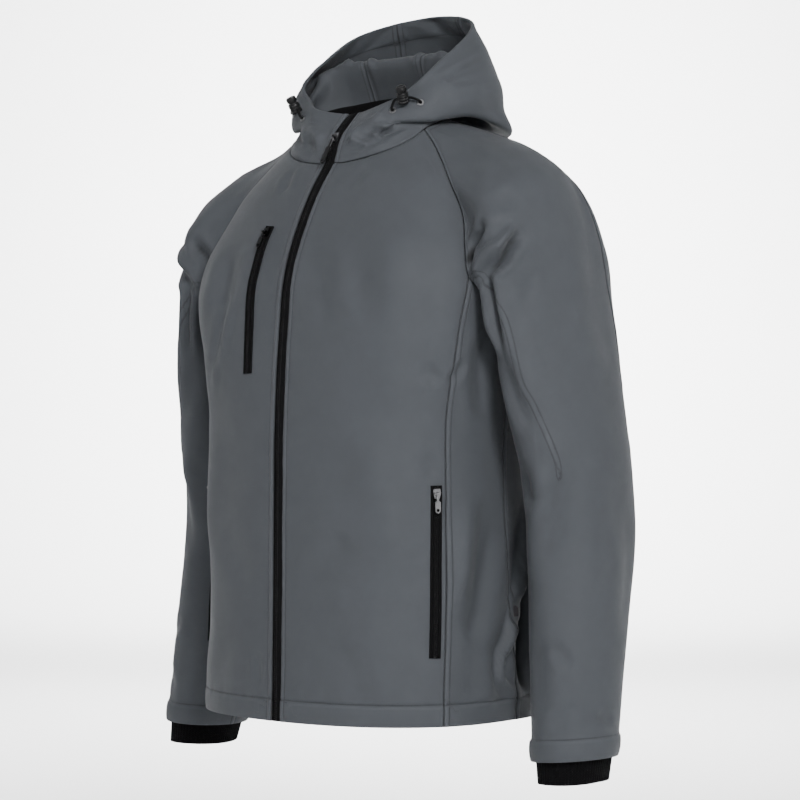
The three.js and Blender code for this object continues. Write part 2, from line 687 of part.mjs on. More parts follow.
// A strip lying on a panel between two heights, with its own height across its width
function stripOn(panel, { bottom, top, col, width, lift, profile }) {
  const first = rowAtHeight(panel, bottom, col);
  const last = rowAtHeight(panel, top, col);
  const rows = [first];
  for (let i = Math.ceil(first); i < last; i++) if (i - first > 0.1 && last - i > 0.1) rows.push(i);
  rows.push(last);
  const across = steps(profile.length - 1);
  const layer = (heightOf) =>
    rows.map((row) =>
      across.map((t, k) => {
        const near = onPanel(panel, row, col);
        const next = onPanel(panel, row, col + 0.5);
        const perColumn = near.point.distanceTo(next.point) / 0.5;
        const { point, out } = onPanel(panel, row, col + ((t - 0.5) * width) / perColumn);
        return point.addScaledVector(out, heightOf(k));
      }),
    );
  return between(layer((k) => lift + profile[k]), layer(() => lift), panel.flip);
}

// Rib cuffs: a knitted tube that starts inside the sleeve's end and shows below it
const RIB_LENGTH = 26;
const RIB_WALL = 1.8;
const RIB_RINGS = [
  { s: 0.955, below: 0, inset: 3.0 },
  { s: 0.985, below: 0, inset: 4.2 },
  { s: 1, below: 6, inset: 6.2 },
  { s: 1, below: RIB_LENGTH, inset: 8.5 },
];
function ribCuff() {
  const centreOf = (ring) =>
    ring.reduce((sum, p) => sum.add(p), new THREE.Vector3()).divideScalar(ring.length);
  const ringAt = (s) => [...sleeveRow(s, false), ...sleeveRow(s, true).slice(1, -1)].map(vec);
  const along = centreOf(ringAt(1)).sub(centreOf(ringAt(0.9))).normalize();
  const ring = ({ s, below, inset }, extra) => {
    const points = ringAt(s);
    const centre = centreOf(points);
    return points.map((p) => {
      const out = p.clone().sub(centre);
      return p.addScaledVector(out.normalize(), -inset - extra).addScaledVector(along, below);
    });
  };
  const outer = RIB_RINGS.map((r) => ring(r, 0));
  const inner = [RIB_RINGS[0], RIB_RINGS[2], RIB_RINGS[3]].map((r) => ring(r, RIB_WALL));
  return tubeGeometry(outer, inner);
}
const rib = ribCuff();
add("rib_cuff_left", rib, RIB_BLACK);
add("rib_cuff_right", mirroredGeometry(rib), RIB_BLACK);

function mirroredGeometry(geometry) {
  const other = geometry.clone().applyMatrix4(new THREE.Matrix4().makeScale(-1, 1, 1));
  const index = [...other.index.array];
  for (let i = 0; i < index.length; i += 3) [index[i], index[i + 1]] = [index[i + 1], index[i]];
  other.setIndex(index);
  return other;
}

// The main zip runs in the gap between the front edges, from the hem to the chin
const ZIP_DROP = 0.5;
const ZIP_RIDGE = 0.9;
const ZIP_TOP_V = 0.97;
function mainZip() {
  const edge = [
    ...front.map((row) => row[0]),
    ...hoodAll.slice(1).map((row) => row[0]),
  ].map(vec);
  const last = edge.length - 1;
  edge[last] = edge[last - 1].clone().lerp(edge[last], ZIP_TOP_V);
  const xs = [-1, 0, 1].map((side) => side * (ZIP_HALF_WIDTH - SEAM_GAP));
  const out = edge.map((p, i) => {
    const t = edge[Math.min(last, i + 1)].clone().sub(edge[Math.max(0, i - 1)]);
    return new THREE.Vector3(0, -t.z, t.y).normalize();
  });
  const layer = (heights) =>
    edge.map((p, i) =>
      xs.map((x, k) => new THREE.Vector3(x, p.y, p.z).addScaledVector(out[i], heights[k])),
    );
  const flat = [-ZIP_DROP, -ZIP_DROP + ZIP_RIDGE, -ZIP_DROP];
  return {
    geometry: between(layer(flat), layer(Array(3).fill(-ZIP_DROP - ZIP_TAPE)), true),
    edge,
    out,
  };
}
const zip = mainZip();
add("zip_main", zip.geometry, TAPE_BLACK);

const zipProfile = [ZIP_TAPE, ZIP_TAPE, ZIP_TAPE + ZIP_RIDGE, ZIP_TAPE, ZIP_TAPE];
const CHEST_ZIP = { bottom: -299, top: -126, col: 1.75, width: 13, lift: 0.3, profile: zipProfile };
const HAND_ZIP = { bottom: -622, top: -427, col: 7.52, width: 13.5, lift: 0.3, profile: zipProfile };
add("zip_chest", stripOn(panelNamed("front_right"), CHEST_ZIP), TAPE_BLACK);
add("zip_pocket_left", stripOn(panelNamed("front_left"), HAND_ZIP), TAPE_BLACK);
add("zip_pocket_right", stripOn(panelNamed("front_right"), HAND_ZIP), TAPE_BLACK);

// A plain label sewn beside the left side seam
const LABEL = { bottom: -581, top: -567, col: 0.26, width: 13, lift: 0.3, profile: [0.8, 0.8] };
add("label_side", stripOn(panelNamed("back"), LABEL), LABEL_DARK);

// Sliders and their pulls, drawn with x across the zip, y up it and z out of it
function cylinderX(radius, length, sides) {
  return new THREE.CylinderGeometry(radius, radius, length, sides).rotateZ(Math.PI / 2);
}
function boxAt([sx, sy, sz], [x, y, z]) {
  return new THREE.BoxGeometry(sx, sy, sz).translate(x, y, z);
}
const unionOf = (...geometries) => geometries.map(solidOf).reduce((a, b) => a.add(b));

const PLATE = 2.4;
const PIN_RADIUS = 0.7;
const PIN_HEIGHT = 2.3;
const LUG_RADIUS = 1.7;
const LUG_BORE = 1.05;
const LUG_WIDTH = 3;
const CHEEK = 1.2;
const CHEEK_X = LUG_WIDTH / 2 + 0.4 + CHEEK / 2;
const PULL_THICK = 1.5;
function sliderGeometry(width, length) {
  const shield = new THREE.Shape();
  shield.moveTo(-width * 0.32, -length / 2);
  shield.lineTo(width * 0.32, -length / 2);
  shield.lineTo(width / 2, length * 0.1);
  shield.lineTo(width * 0.42, length / 2);
  shield.lineTo(-width * 0.42, length / 2);
  shield.lineTo(-width / 2, length * 0.1);
  const plate = new THREE.ExtrudeGeometry(shield, { depth: PLATE, bevelEnabled: false });
  const cheekHeight = PIN_HEIGHT + 1;
  const cheeks = [-1, 1].map((side) =>
    boxAt([CHEEK, 3, cheekHeight + 0.5], [side * CHEEK_X, 0, PLATE + cheekHeight / 2 - 0.25]),
  );
  const pin = cylinderX(PIN_RADIUS, 2 * CHEEK_X, 12).translate(0, 0, PLATE + PIN_HEIGHT);
  return geometryOf(unionOf(plate, ...cheeks, pin));
}

// A pull hangs from the pin: lug, neck, then a wider end with a round hole
function pullGeometry({ length, neckLength, neckWidth, endWidth, hole }) {
  const r = endWidth / 2;
  const centreY = -length + r;
  const shape = new THREE.Shape();
  shape.moveTo(-neckWidth / 2, -LUG_RADIUS * 0.4);
  shape.lineTo(-neckWidth / 2, -neckLength);
  shape.lineTo(-r, -neckLength - 1.5);
  shape.lineTo(-r, centreY);
  for (const t of steps(10).slice(1)) {
    const a = Math.PI + Math.PI * t;
    shape.lineTo(r * Math.cos(a), centreY + r * Math.sin(a));
  }
  shape.lineTo(r, -neckLength - 1.5);
  shape.lineTo(neckWidth / 2, -neckLength);
  shape.lineTo(neckWidth / 2, -LUG_RADIUS * 0.4);
  const plate = new THREE.ExtrudeGeometry(shape, { depth: PULL_THICK, bevelEnabled: false });
  plate.translate(0, 0, -PULL_THICK / 2);
  const lug = cylinderX(LUG_RADIUS, LUG_WIDTH, 16);
  const bore = cylinderX(LUG_BORE, LUG_WIDTH + 2, 16);
  const eye = new THREE.CylinderGeometry(hole, hole, 5, 16).rotateX(Math.PI / 2).translate(0, centreY, 0);
  return geometryOf(unionOf(plate, lug).subtract(solidOf(bore)).subtract(solidOf(eye)));
}

function placed(geometry, { origin, up, out }) {
  const z = out.clone().normalize();
  const y = up.clone().addScaledVector(z, -up.dot(z)).normalize();
  const x = y.clone().cross(z);
  return geometry.clone().applyMatrix4(new THREE.Matrix4().makeBasis(x, y, z).setPosition(origin));
}

const SLIDER_LIFT = 0.4;
function addPull(name, zipPlace, slider, pull, material) {
  const seat = { ...zipPlace, origin: zipPlace.origin.clone().addScaledVector(zipPlace.out, SLIDER_LIFT) };
  const pin = { ...seat, origin: seat.origin.clone().addScaledVector(seat.out, PLATE + PIN_HEIGHT) };
  add(`slider_${name}`, placed(sliderGeometry(slider.width, slider.length), seat), SLIDER_METAL);
  add(`pull_${name}`, placed(pullGeometry(pull), pin), material);
}

const MAIN_SLIDER_Z = -21;
const MAIN_SLIDER = { width: 10, length: 13 };
const MAIN_PULL = { length: 40, neckLength: 15, neckWidth: 2.6, endWidth: 6.5, hole: 1.6 };
const POCKET_SLIDER = { width: 9, length: 11 };
const POCKET_PULL = { length: 22, neckLength: 8, neckWidth: 2.6, endWidth: 6.5, hole: 1.8 };

function mainZipPlace(z) {
  let i = 0;
  while (zip.edge[i + 1].z < z) i++;
  const t = (z - zip.edge[i].z) / (zip.edge[i + 1].z - zip.edge[i].z);
  const origin = zip.edge[i].clone().lerp(zip.edge[i + 1], t).setX(0);
  const out = zip.out[i].clone().lerp(zip.out[i + 1], t).normalize();
  origin.addScaledVector(out, ZIP_RIDGE - ZIP_DROP);
  return { origin, out, up: zip.edge[i + 1].clone().sub(zip.edge[i]) };
}
function pocketZipPlace(panel, { col, lift }, z) {
  const row = rowAtHeight(panel, z, col);
  const { point, out } = onPanel(panel, row, col);
  const up = onPanel(panel, row + 0.2, col).point.sub(onPanel(panel, row - 0.2, col).point);
  point.addScaledVector(out, lift + ZIP_TAPE + ZIP_RIDGE);
  return { origin: point, out, up };
}
addPull("main", mainZipPlace(MAIN_SLIDER_Z), MAIN_SLIDER, MAIN_PULL, PLASTIC_BLACK);
const chestPlace = pocketZipPlace(panelNamed("front_right"), CHEST_ZIP, -135);
addPull("chest", chestPlace, POCKET_SLIDER, POCKET_PULL, SLIDER_METAL);
for (const wearerSide of ["left", "right"]) {
  const place = pocketZipPlace(panelNamed(`front_${wearerSide}`), HAND_ZIP, -436);
  addPull(`pocket_${wearerSide}`, place, POCKET_SLIDER, POCKET_PULL, SLIDER_METAL);
}

// Brim cords: out of one eyelet, across through a toggle, into the other
const EYELET = { outside: 4.2, bore: 2.1, thick: 1.2, lift: 0.3 };
const EYELET_PLACES = [
  { w: 0.27, v: 0.8 },
  { w: 0.4, v: 0.84 },
];
const TOGGLE_PLACE = { w: 0.33, v: 0.86 };
const TOGGLE_UPRIGHT = 1.2;
const TOGGLE = { radius: 7, height: 13, waist: 5.2, capRadius: 6.2, capHeight: 8, bore: 2, lift: 3.5 };

function onHood(w, v) {
  const step = 0.01;
  const dw = vec(hood(w + step, v)).sub(vec(hood(w - step, v)));
  const dv = vec(hood(w, v + step)).sub(vec(hood(w, v - step)));
  return { origin: vec(hood(w, v)), out: dw.clone().cross(dv).normalize(), up: dv, across: dw.normalize() };
}
function latheSolid(profile, sides) {
  const points = profile.map(([r, y]) => new THREE.Vector2(r, y));
  return new THREE.LatheGeometry(points, sides).rotateX(Math.PI / 2);
}
function eyeletGeometry() {
  const { outside, bore, thick } = EYELET;
  const edge = outside - 0.6;
  const ring = [[bore, 0], [outside, 0], [outside, thick / 2], [edge, thick], [bore, thick], [bore, 0]];
  return geometryOf(solidOf(latheSolid(ring, 16)));
}
function toggleGeometry() {
  const { radius, height, waist, capRadius, capHeight, bore } = TOGGLE;
  const top = height + capHeight;
  const barrel = latheSolid(
    [
      [0, 0], [radius - 1, 0], [radius, 1], [radius, height - 1], [radius - 1, height],
      [waist, height], [waist, height + 1.5], [capRadius, height + 1.5],
      [capRadius, top - 1], [capRadius - 1, top], [0, top],
    ],
    16,
  );
  const cross = cylinderX(bore, 4 * radius, 12).translate(0, 0, height * 0.4);
  return geometryOf(solidOf(barrel).subtract(solidOf(cross)));
}
function cordGeometry(points) {
  const path = new THREE.CatmullRomCurve3(points, false, "centripetal");
  const circle = new THREE.Shape();
  steps(CORD_SIDES).slice(0, -1).forEach((t, i) => {
    const x = CORD_RADIUS * Math.cos(2 * Math.PI * t);
    const y = CORD_RADIUS * Math.sin(2 * Math.PI * t);
    if (i === 0) circle.moveTo(x, y);
    else circle.lineTo(x, y);
  });
  return new THREE.ExtrudeGeometry(circle, { steps: CORD_STEPS, extrudePath: path, bevelEnabled: false });
}
const [eyeletA, eyeletB] = EYELET_PLACES.map(({ w, v }) => onHood(w, v));
const toggleFoot = onHood(TOGGLE_PLACE.w, TOGGLE_PLACE.v);
const bar = eyeletB.origin.clone().sub(eyeletA.origin);
const toggleLine = toggleFoot.out.clone().setZ(toggleFoot.out.z + TOGGLE_UPRIGHT).normalize();
const togglePlace = {
  origin: toggleFoot.origin.clone().addScaledVector(toggleFoot.out, TOGGLE.lift),
  out: toggleLine,
  up: toggleLine.clone().cross(bar),
};
const boreCentre = togglePlace.origin.clone().addScaledVector(togglePlace.out, TOGGLE.height * 0.4);
const boreLine = togglePlace.up.clone().cross(togglePlace.out).normalize();
if (boreLine.dot(bar) < 0) boreLine.negate();
const eyeletPoint = (place, height) => place.origin.clone().addScaledVector(place.out, height);
const cordRoute = [
  eyeletPoint(eyeletA, 0.6),
  eyeletPoint(eyeletA, 4),
  boreCentre.clone().addScaledVector(boreLine, -TOGGLE.radius - 2.5),
  boreCentre.clone().addScaledVector(boreLine, -TOGGLE.radius * 0.6),
  boreCentre,
  boreCentre.clone().addScaledVector(boreLine, TOGGLE.radius * 0.6),
  boreCentre.clone().addScaledVector(boreLine, TOGGLE.radius + 2.5),
  eyeletPoint(eyeletB, 4),
  eyeletPoint(eyeletB, 0.6),
];
const leftBits = [
  ["eyelet_front_left", placed(eyeletGeometry(), { ...eyeletA, origin: eyeletPoint(eyeletA, EYELET.lift) })],
  ["eyelet_rear_left", placed(eyeletGeometry(), { ...eyeletB, origin: eyeletPoint(eyeletB, EYELET.lift) })],
  ["toggle_left", placed(toggleGeometry(), togglePlace)],
];
leftBits.forEach(([name, geometry]) => {
  const material = name.startsWith("toggle") ? PLASTIC_BLACK : SLIDER_METAL;
  add(name, geometry, material);
  add(name.replace("left", "right"), mirroredGeometry(geometry), material);
});
add("cord_left", cordGeometry(cordRoute), TAPE_BLACK);
add("cord_right", cordGeometry(cordRoute.map((p) => p.clone().setX(-p.x))), TAPE_BLACK);

export default jacket;
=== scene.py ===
# A men's hooded softshell jacket in its worn shape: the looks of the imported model.
# Forms are worked out in millimetres in the model's own frame, then made in metres.
# The wearer faces -Y, the wearer's left is +X, and the origin is the middle of the neck.
import json
import math
import bpy
import numpy as np
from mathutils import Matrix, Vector


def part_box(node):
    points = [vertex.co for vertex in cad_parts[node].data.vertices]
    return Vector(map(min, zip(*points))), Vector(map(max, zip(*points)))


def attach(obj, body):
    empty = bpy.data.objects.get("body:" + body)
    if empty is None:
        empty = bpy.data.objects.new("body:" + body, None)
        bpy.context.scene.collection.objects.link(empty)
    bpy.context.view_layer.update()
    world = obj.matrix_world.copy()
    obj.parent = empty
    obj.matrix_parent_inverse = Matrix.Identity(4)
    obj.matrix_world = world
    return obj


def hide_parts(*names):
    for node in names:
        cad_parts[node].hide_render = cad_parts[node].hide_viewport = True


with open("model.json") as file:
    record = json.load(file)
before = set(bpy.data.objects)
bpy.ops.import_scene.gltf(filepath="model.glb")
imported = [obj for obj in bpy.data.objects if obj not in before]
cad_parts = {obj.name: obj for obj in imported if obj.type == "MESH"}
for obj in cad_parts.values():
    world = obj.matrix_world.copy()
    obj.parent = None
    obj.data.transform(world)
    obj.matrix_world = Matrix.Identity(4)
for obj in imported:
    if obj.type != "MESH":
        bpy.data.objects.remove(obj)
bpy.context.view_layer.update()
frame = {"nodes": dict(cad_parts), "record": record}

# Driving sizes, in millimetres
CLOTH = 1.8
HEM_Z = -700
FRONT_NECK_Z = -51
BACK_NECK_Z = 15
ARMHOLE_Z = -190
ARMPIT_Z = -212
HEM_BAND = 25
ZIP_HALF_WIDTH = 7
STITCH_AT = 6.5
MM = 0.001
MIRROR = np.array([-1, 1, 1])
# Rough sizes of the panels, for the places of their rows and columns
BODY_LENGTH = 500
BACK_LENGTH = 480
FRONT_RAGLAN_LENGTH = 250
BACK_RAGLAN_LENGTH = 265
BACK_RAGLAN_SPREAD = 200
FRONT_WIDTH = 230
SIDE_WIDTH = 105
BACK_HALF_WIDTH = 220
SLEEVE_LENGTH = 850
SLEEVE_FRONT_WIDTH = 260
SLEEVE_BACK_WIDTH = 200
# How sharply the rows of front and back turn up towards the neck
ROW_BEND = 1.8
# The share of the way up from where side seam and side panel ease into the armhole
ARMHOLE_EASE = 0.86

# Torso sections: height, half width, front depth, back depth, squareness in front and behind
TORSO = np.array([
    (-700, 201, 168, 142, 2.4, 3.0),
    (-560, 198, 166, 136, 2.4, 3.0),
    (-445, 195, 164.5, 131, 2.4, 3.0),
    (-344, 198, 163, 131, 2.5, 2.9),
    (-283, 205, 159, 134, 2.8, 2.9),
    (-241, 210, 155, 136, 3.0, 3.0),
    (-200, 213, 150, 138, 3.0, 3.0),
    (-158, 208, 138, 138, 2.8, 2.8),
    (-117, 192, 119, 132, 2.5, 2.5),
    (-75, 168, 94, 118, 2.4, 2.4),
    (-51, 147, 76, 106, 2.3, 2.3),
    (-13, 108, 50, 84, 2.2, 2.2),
    (15, 90, 36, 66, 2.2, 2.2),
])
# Raglan seams: height, distance from the middle
FRONT_RAGLAN = np.array([(-190, 205), (-152, 196), (-117, 182), (-78, 158), (-45, 131), (-13, 100)])
BACK_RAGLAN = np.array([(-190, 203), (-152, 188), (-117, 168), (-78, 140), (-40, 108), (8, 66)])
# Upright seams: height, angle round the torso from the front
FRONT_SIDE_SEAM = np.array([(-700, 63), (-445, 65.5), (-347, 65), (-264, 68), (-190, 69.7)])
SIDE_BACK_SEAM = np.array([(-700, 94), (-445, 91), (-300, 91), (-212, 91)])
# Sleeve sections: share of its length, outer point, inner point, half depth, middle depth, squareness
SLEEVE = np.array([
    (0.00, 99, 16, 1, 212, 5, -212, 70, 2, 2.2),
    (0.10, 149, 44, -17, 215, 8, -218, 80, 6, 2.3),
    (0.20, 209, 44, -43, 217, 12, -224, 93, 12, 2.5),
    (0.28, 251, 42, -78, 217, 16, -230, 101, 20, 2.4),
    (0.34, 268, 42, -128, 216, 22, -238, 104, 28, 2.3),
    (0.42, 280, 39, -200, 213, 30, -264, 105, 35, 2.1),
    (0.52, 301, 42, -310, 213, 40, -335, 96, 42, 2.1),
    (0.62, 320, 51, -410, 220, 50, -420, 84, 50, 2.0),
    (0.68, 321, 56, -465, 220, 56, -470, 82, 55, 2.0),
    (0.84, 329, 35, -618, 234, 35, -622, 66, 35, 2.0),
    (1.00, 333, 17, -733, 246, 17, -739, 57, 17, 2.0),
])
SLEEVE_BLEND = 0.45
# Seam behind the sleeve: share of its length, angle round it
SLEEVE_BACK_SEAM = np.array([
    (0.0, -12), (0.1, -12), (0.2, -16), (0.28, -26), (0.42, -44), (0.52, -58), (0.68, -75), (1.0, -85),
])
UNDER_SEAM = 180
# Hood lines from the neck seam to the brim, for shares of the way round from the left front edge
HOOD_V = np.array([0, 0.15, 0.28, 0.34, 0.45, 0.56, 0.62, 0.78, 0.9, 1])
HOOD_W = np.array([0, 0.2, 0.4, 0.6, 0.8, 1])
HOOD = np.array([
    [[7, -76, -51], [7, -72, -40], [7, -68, -30], [7, -66, -26], [7, -61, -18],
     [7, -56, -11], [7, -53, -8], [7, -44, 1], [7, -37, 7], [7, -31, 11]],
    [[50, -62, -43], [53, -62, -33], [55, -61, -24], [55, -60, -20], [55, -58, -13],
     [55, -55, -6], [55, -53, -2], [53, -48, 7], [51, -43, 13], [48, -38, 18]],
    [[92, -24, -18], [89, -22, -6], [85, -19, 12], [89, -18, 15], [94, -18, 5],
     [97, -19, -4], [102, -22, -5], [104, -26, 9], [92, -27, 25], [73, -26, 31]],
    [[99, 16, 1], [104, 14, 24], [101, 14, 46], [107, 16, 49], [111, 22, 30],
     [119, 30, 6], [129, 34, 3], [136, 27, 26], [120, 9, 50], [99, -6, 60]],
    [[72, 44, 9], [80, 42, 42], [86, 36, 78], [93, 42, 80], [98, 60, 45],
     [109, 88, -2], [125, 102, -14], [126, 101, 25], [108, 91, 88], [94, 79, 121]],
    [[0, 66, 15], [0, 54, 48], [0, 42, 80], [0, 52, 83], [0, 68, 45],
     [0, 98, -14], [0, 128, -24], [0, 150, 25], [0, 142, 92], [0, 120, 143]],
], float)
HOOD_CENTRE_X = 38
HOOD_EASE = 0.3
HOOD_FINER = 1.25
# Rows of the hood from foot to brim: start, end and number of each stretch
HOOD_STRETCHES = [
    (0, 0.28, 14), (0.28, 0.36, 9), (0.36, 0.66, 26), (0.66, 0.9, 22), (0.9, 0.985, 12), (0.985, 1, 5),
]


def spline(xs, ys, x):
    """A cubic through a table, with slopes from its neighbours; ys may have further axes."""
    xs = np.asarray(xs, float)
    ys = np.asarray(ys, float)
    x = np.asarray(x, float)
    extra = (1,) * (ys.ndim - 1)
    rise = np.diff(ys, axis=0) / np.diff(xs).reshape((-1,) + extra)
    slope = np.empty_like(ys)
    slope[0] = rise[0]
    slope[-1] = rise[-1]
    share = (np.diff(xs)[1:] / (xs[2:] - xs[:-2])).reshape((-1,) + extra)
    slope[1:-1] = rise[:-1] * share + rise[1:] * (1 - share)
    k = np.clip(np.searchsorted(xs, x, side="right") - 1, 0, len(xs) - 2)
    h = (xs[k + 1] - xs[k]).reshape(x.shape + extra)
    t = np.clip((x - xs[k]) / (xs[k + 1] - xs[k]), 0, 1).reshape(x.shape + extra)
    return (
        ys[k] * (1 + 2 * t) * (1 - t) ** 2
        + slope[k] * h * t * (1 - t) ** 2
        + ys[k + 1] * t * t * (3 - 2 * t)
        + slope[k + 1] * h * t * t * (t - 1)
    )


def from_table(table, x):
    """The second column of a table of two, read at x in the first."""
    return spline(table[:, 0], table[:, 1], x)


def lengths_along(line):
    """The distance along a line from its first point to each of them."""
    return np.concatenate([[0], np.cumsum(np.linalg.norm(np.diff(line, axis=0), axis=1))])


def read_line(at, known, line):
    """Points of a line at the given places, where known are the places of its own points."""
    return np.stack([np.interp(at, known, line[:, i]) for i in range(3)], -1)


def unit(v):
    return v / np.linalg.norm(v)


def signed_power(v, e):
    return np.sign(v) * np.abs(v) ** e


def lerp(a, b, t):
    return a + (b - a) * t


def smooth(t):
    t = np.clip(t, 0, 1)
    return t * t * (3 - 2 * t)


def bell(away, width):
    return np.exp(-((away / width) ** 2))


def torso(angle, z):
    """A point on the torso, by the angle from the front in degrees and the height."""
    angle = np.radians(np.asarray(angle, float))
    z = np.asarray(z, float) + 0 * angle
    row = spline(TORSO[:, 0], TORSO[:, 1:], z)
    half, front, back, square, square_back = (row[..., i] for i in range(5))
    s, c = np.sin(angle), np.cos(angle)
    e = 2 / np.where(c > 0, square, square_back)
    x = half * signed_power(s, e)
    y = -np.where(c > 0, front, back) * signed_power(c, e)
    return np.stack([x, y, z], -1)


def torso_angle(x, z, on_back=False):
    """The angle round the torso at a distance from the middle and a height."""
    row = spline(TORSO[:, 0], TORSO[:, 1:], z)
    square = row[..., 4 if on_back else 3]
    angle = np.degrees(np.arcsin(np.minimum(1, (x / row[..., 0]) ** (square / 2))))
    return 180 - angle if on_back else angle


RING_ANGLES = np.linspace(0, 180, 361)
ring_lengths = {}


def lengths_at(z):
    """Lengths round the torso from the front, for RING_ANGLES."""
    key = round(float(z) * 4) / 4
    if key not in ring_lengths:
        ring_lengths[key] = lengths_along(torso(RING_ANGLES, key))
    return ring_lengths[key]


def torso_row(start, end, ts, bend):
    """One row of a panel between two (angle, height) places; bend is its way up along the row."""
    angles = []
    heights = []
    for t in ts:
        z = lerp(start[1], end[1], bend(t))
        lengths = lengths_at(z)
        a, b = np.interp([start[0], end[0]], RING_ANGLES, lengths)
        angles.append(np.interp(lerp(a, b, t), lengths, RING_ANGLES))
        heights.append(z)
    return np.array(angles), np.array(heights)


def raglan_place(table, z, on_back):
    return torso_angle(from_table(table, z), z, on_back)


# The armhole, by a place k that counts the steps the solids use
RAGLAN_STEPS = 7
UNDER_STEPS = 3
NECK_STEPS = 4
FIRST_STEPS = 3
FRONT_CORNER = (float(raglan_place(FRONT_RAGLAN, ARMHOLE_Z, False)), ARMHOLE_Z)
BACK_CORNER = (float(raglan_place(BACK_RAGLAN, ARMHOLE_Z, True)), ARMHOLE_Z)
NECK_SIDE = np.array([99, 16, 1.0])


def front_raglan(t):
    z = lerp(ARMHOLE_Z, FRONT_RAGLAN[-1, 0], t)
    return raglan_place(FRONT_RAGLAN, z, False), z


def back_raglan(t):
    z = lerp(ARMHOLE_Z, BACK_RAGLAN[-1, 0], t)
    return raglan_place(BACK_RAGLAN, z, True), z


def under_curve(corner, t):
    return lerp(corner[0], SIDE_BACK_SEAM[-1, 1], t), lerp(corner[1], ARMPIT_Z, np.sin(t * np.pi / 2))


def neck_side(t):
    ends = [torso(*front_raglan(1.0)), NECK_SIDE, torso(*back_raglan(1.0))]
    return spline([0, 0.5, 1], np.array(ends), t)


def armhole_point(k):
    """The armhole at place k: back of the neck side, front raglan down, under, back raglan up."""
    if k <= FIRST_STEPS:
        return neck_side((FIRST_STEPS - k) / NECK_STEPS)
    k -= FIRST_STEPS
    if k <= RAGLAN_STEPS:
        return torso(*front_raglan(1 - k / RAGLAN_STEPS))
    k -= RAGLAN_STEPS
    if k <= UNDER_STEPS:
        return torso(*under_curve(FRONT_CORNER, k / UNDER_STEPS))
    k -= UNDER_STEPS
    if k <= UNDER_STEPS:
        return torso(*under_curve(BACK_CORNER, 1 - k / UNDER_STEPS))
    k -= UNDER_STEPS
    if k <= RAGLAN_STEPS:
        return torso(*back_raglan(k / RAGLAN_STEPS))
    return neck_side(1 - (k - RAGLAN_STEPS) / NECK_STEPS)


UNDER_NODE = FIRST_STEPS + RAGLAN_STEPS + UNDER_STEPS
LAST_NODE = UNDER_NODE + UNDER_STEPS + RAGLAN_STEPS + NECK_STEPS - FIRST_STEPS
# The least turn round the sleeve between two places, in degrees
LEAST_TURN = 4


def armhole_angles():
    """The sleeve's own angle at each whole place of the armhole."""
    outer, inner = SLEEVE[0, 1:4], SLEEVE[0, 4:7]
    middle, half = (outer + inner) / 2, (outer - inner) / 2
    nodes = np.array([armhole_point(k) for k in range(LAST_NODE + 1)])
    share = np.clip((nodes - middle) @ half / (half @ half), -1, 1)
    raw = np.degrees(np.arccos(share))
    raw[UNDER_NODE:] = 360 - raw[UNDER_NODE:]
    first = SLEEVE_BACK_SEAM[0, 1]
    raw[0], raw[1], raw[UNDER_NODE], raw[-1] = first, 0, UNDER_SEAM, 360 + first
    for i in range(2, UNDER_NODE):
        raw[i] = max(raw[i], raw[i - 1] + LEAST_TURN)
    for i in range(len(raw) - 2, UNDER_NODE, -1):
        raw[i] = min(raw[i], raw[i + 1] - LEAST_TURN)
    return raw


NODE_ANGLES = armhole_angles()
FINE_K = np.linspace(0, LAST_NODE, LAST_NODE * 12 + 1)
FINE_RING = np.array([armhole_point(k) for k in FINE_K])
FINE_ANGLES = np.interp(FINE_K, np.arange(LAST_NODE + 1), NODE_ANGLES)


def sleeve_section(angle, s):
    """A point on the sleeve's own section, before it is eased into the armhole."""
    row = spline(SLEEVE[:, 0], SLEEVE[:, 1:], s)
    outer, inner = row[..., 0:3], row[..., 3:6]
    deep, mid, square = row[..., 6], row[..., 7], row[..., 8]
    turn = np.radians(angle)
    along = signed_power(np.cos(turn), 2 / square)
    across = signed_power(np.sin(turn), 2 / square)
    p = (outer + inner) / 2 + (outer - inner) / 2 * along[..., None]
    lean = np.where(along > 0, outer[..., 1], inner[..., 1]) - mid
    p[..., 1] = mid + lean * along * along - deep * across
    return p


def sleeve(angle, s):
    """A point on the left sleeve, eased into the armhole near the shoulder."""
    angle = np.asarray(angle, float)
    s = np.asarray(s, float)
    p = sleeve_section(angle, s)
    turned = FINE_ANGLES[0] + np.mod(angle - FINE_ANGLES[0], 360)
    ring = read_line(turned, FINE_ANGLES, FINE_RING)
    share = smooth(1 - s / SLEEVE_BLEND)
    return p + (ring - sleeve_section(angle, np.zeros_like(s))) * share[..., None]


def hood(w, v):
    """A point on the hood's left half; w is 0 at the front edge and 1 at the centre back."""
    columns = spline(HOOD_V, HOOD.transpose(1, 0, 2), v)
    w = np.asarray(w, float)
    mirror = columns[..., ::-1, :][..., 1:, :] * MIRROR
    both = np.concatenate([columns, mirror], -2)
    ws = np.concatenate([HOOD_W, 2 - HOOD_W[::-1][1:]])
    out = np.empty(w.shape + (3,))
    flat_both = both.reshape(-1, len(ws), 3)
    flat_w = w.reshape(-1)
    flat = out.reshape(-1, 3)
    for i in range(len(flat_w)):
        flat[i] = spline(ws, flat_both[i], flat_w[i])
    return out


# Places across a panel: fixed distances by each edge, evenly spread between
EDGE_STEPS = [0, 0.7, 1.6, 3, 5.3, 6, 6.5, 7, 8, 10]
HEM_STEPS = [0, 0.6, 1.6, 4, 12, 20, 23.5, 24.4, 25, 25.6, 26.5, 29]


def across(length, count, near=EDGE_STEPS, far=EDGE_STEPS):
    """Shares of a length, close together by both ends, with count steps between."""
    a = np.array(near) / length
    b = 1 - np.array(far[::-1]) / length
    middle = np.linspace(a[-1], b[0], count + 1)[1:-1]
    return np.concatenate([a, middle, b])


def near_armhole(share):
    return smooth((share - ARMHOLE_EASE) / (1 - ARMHOLE_EASE))


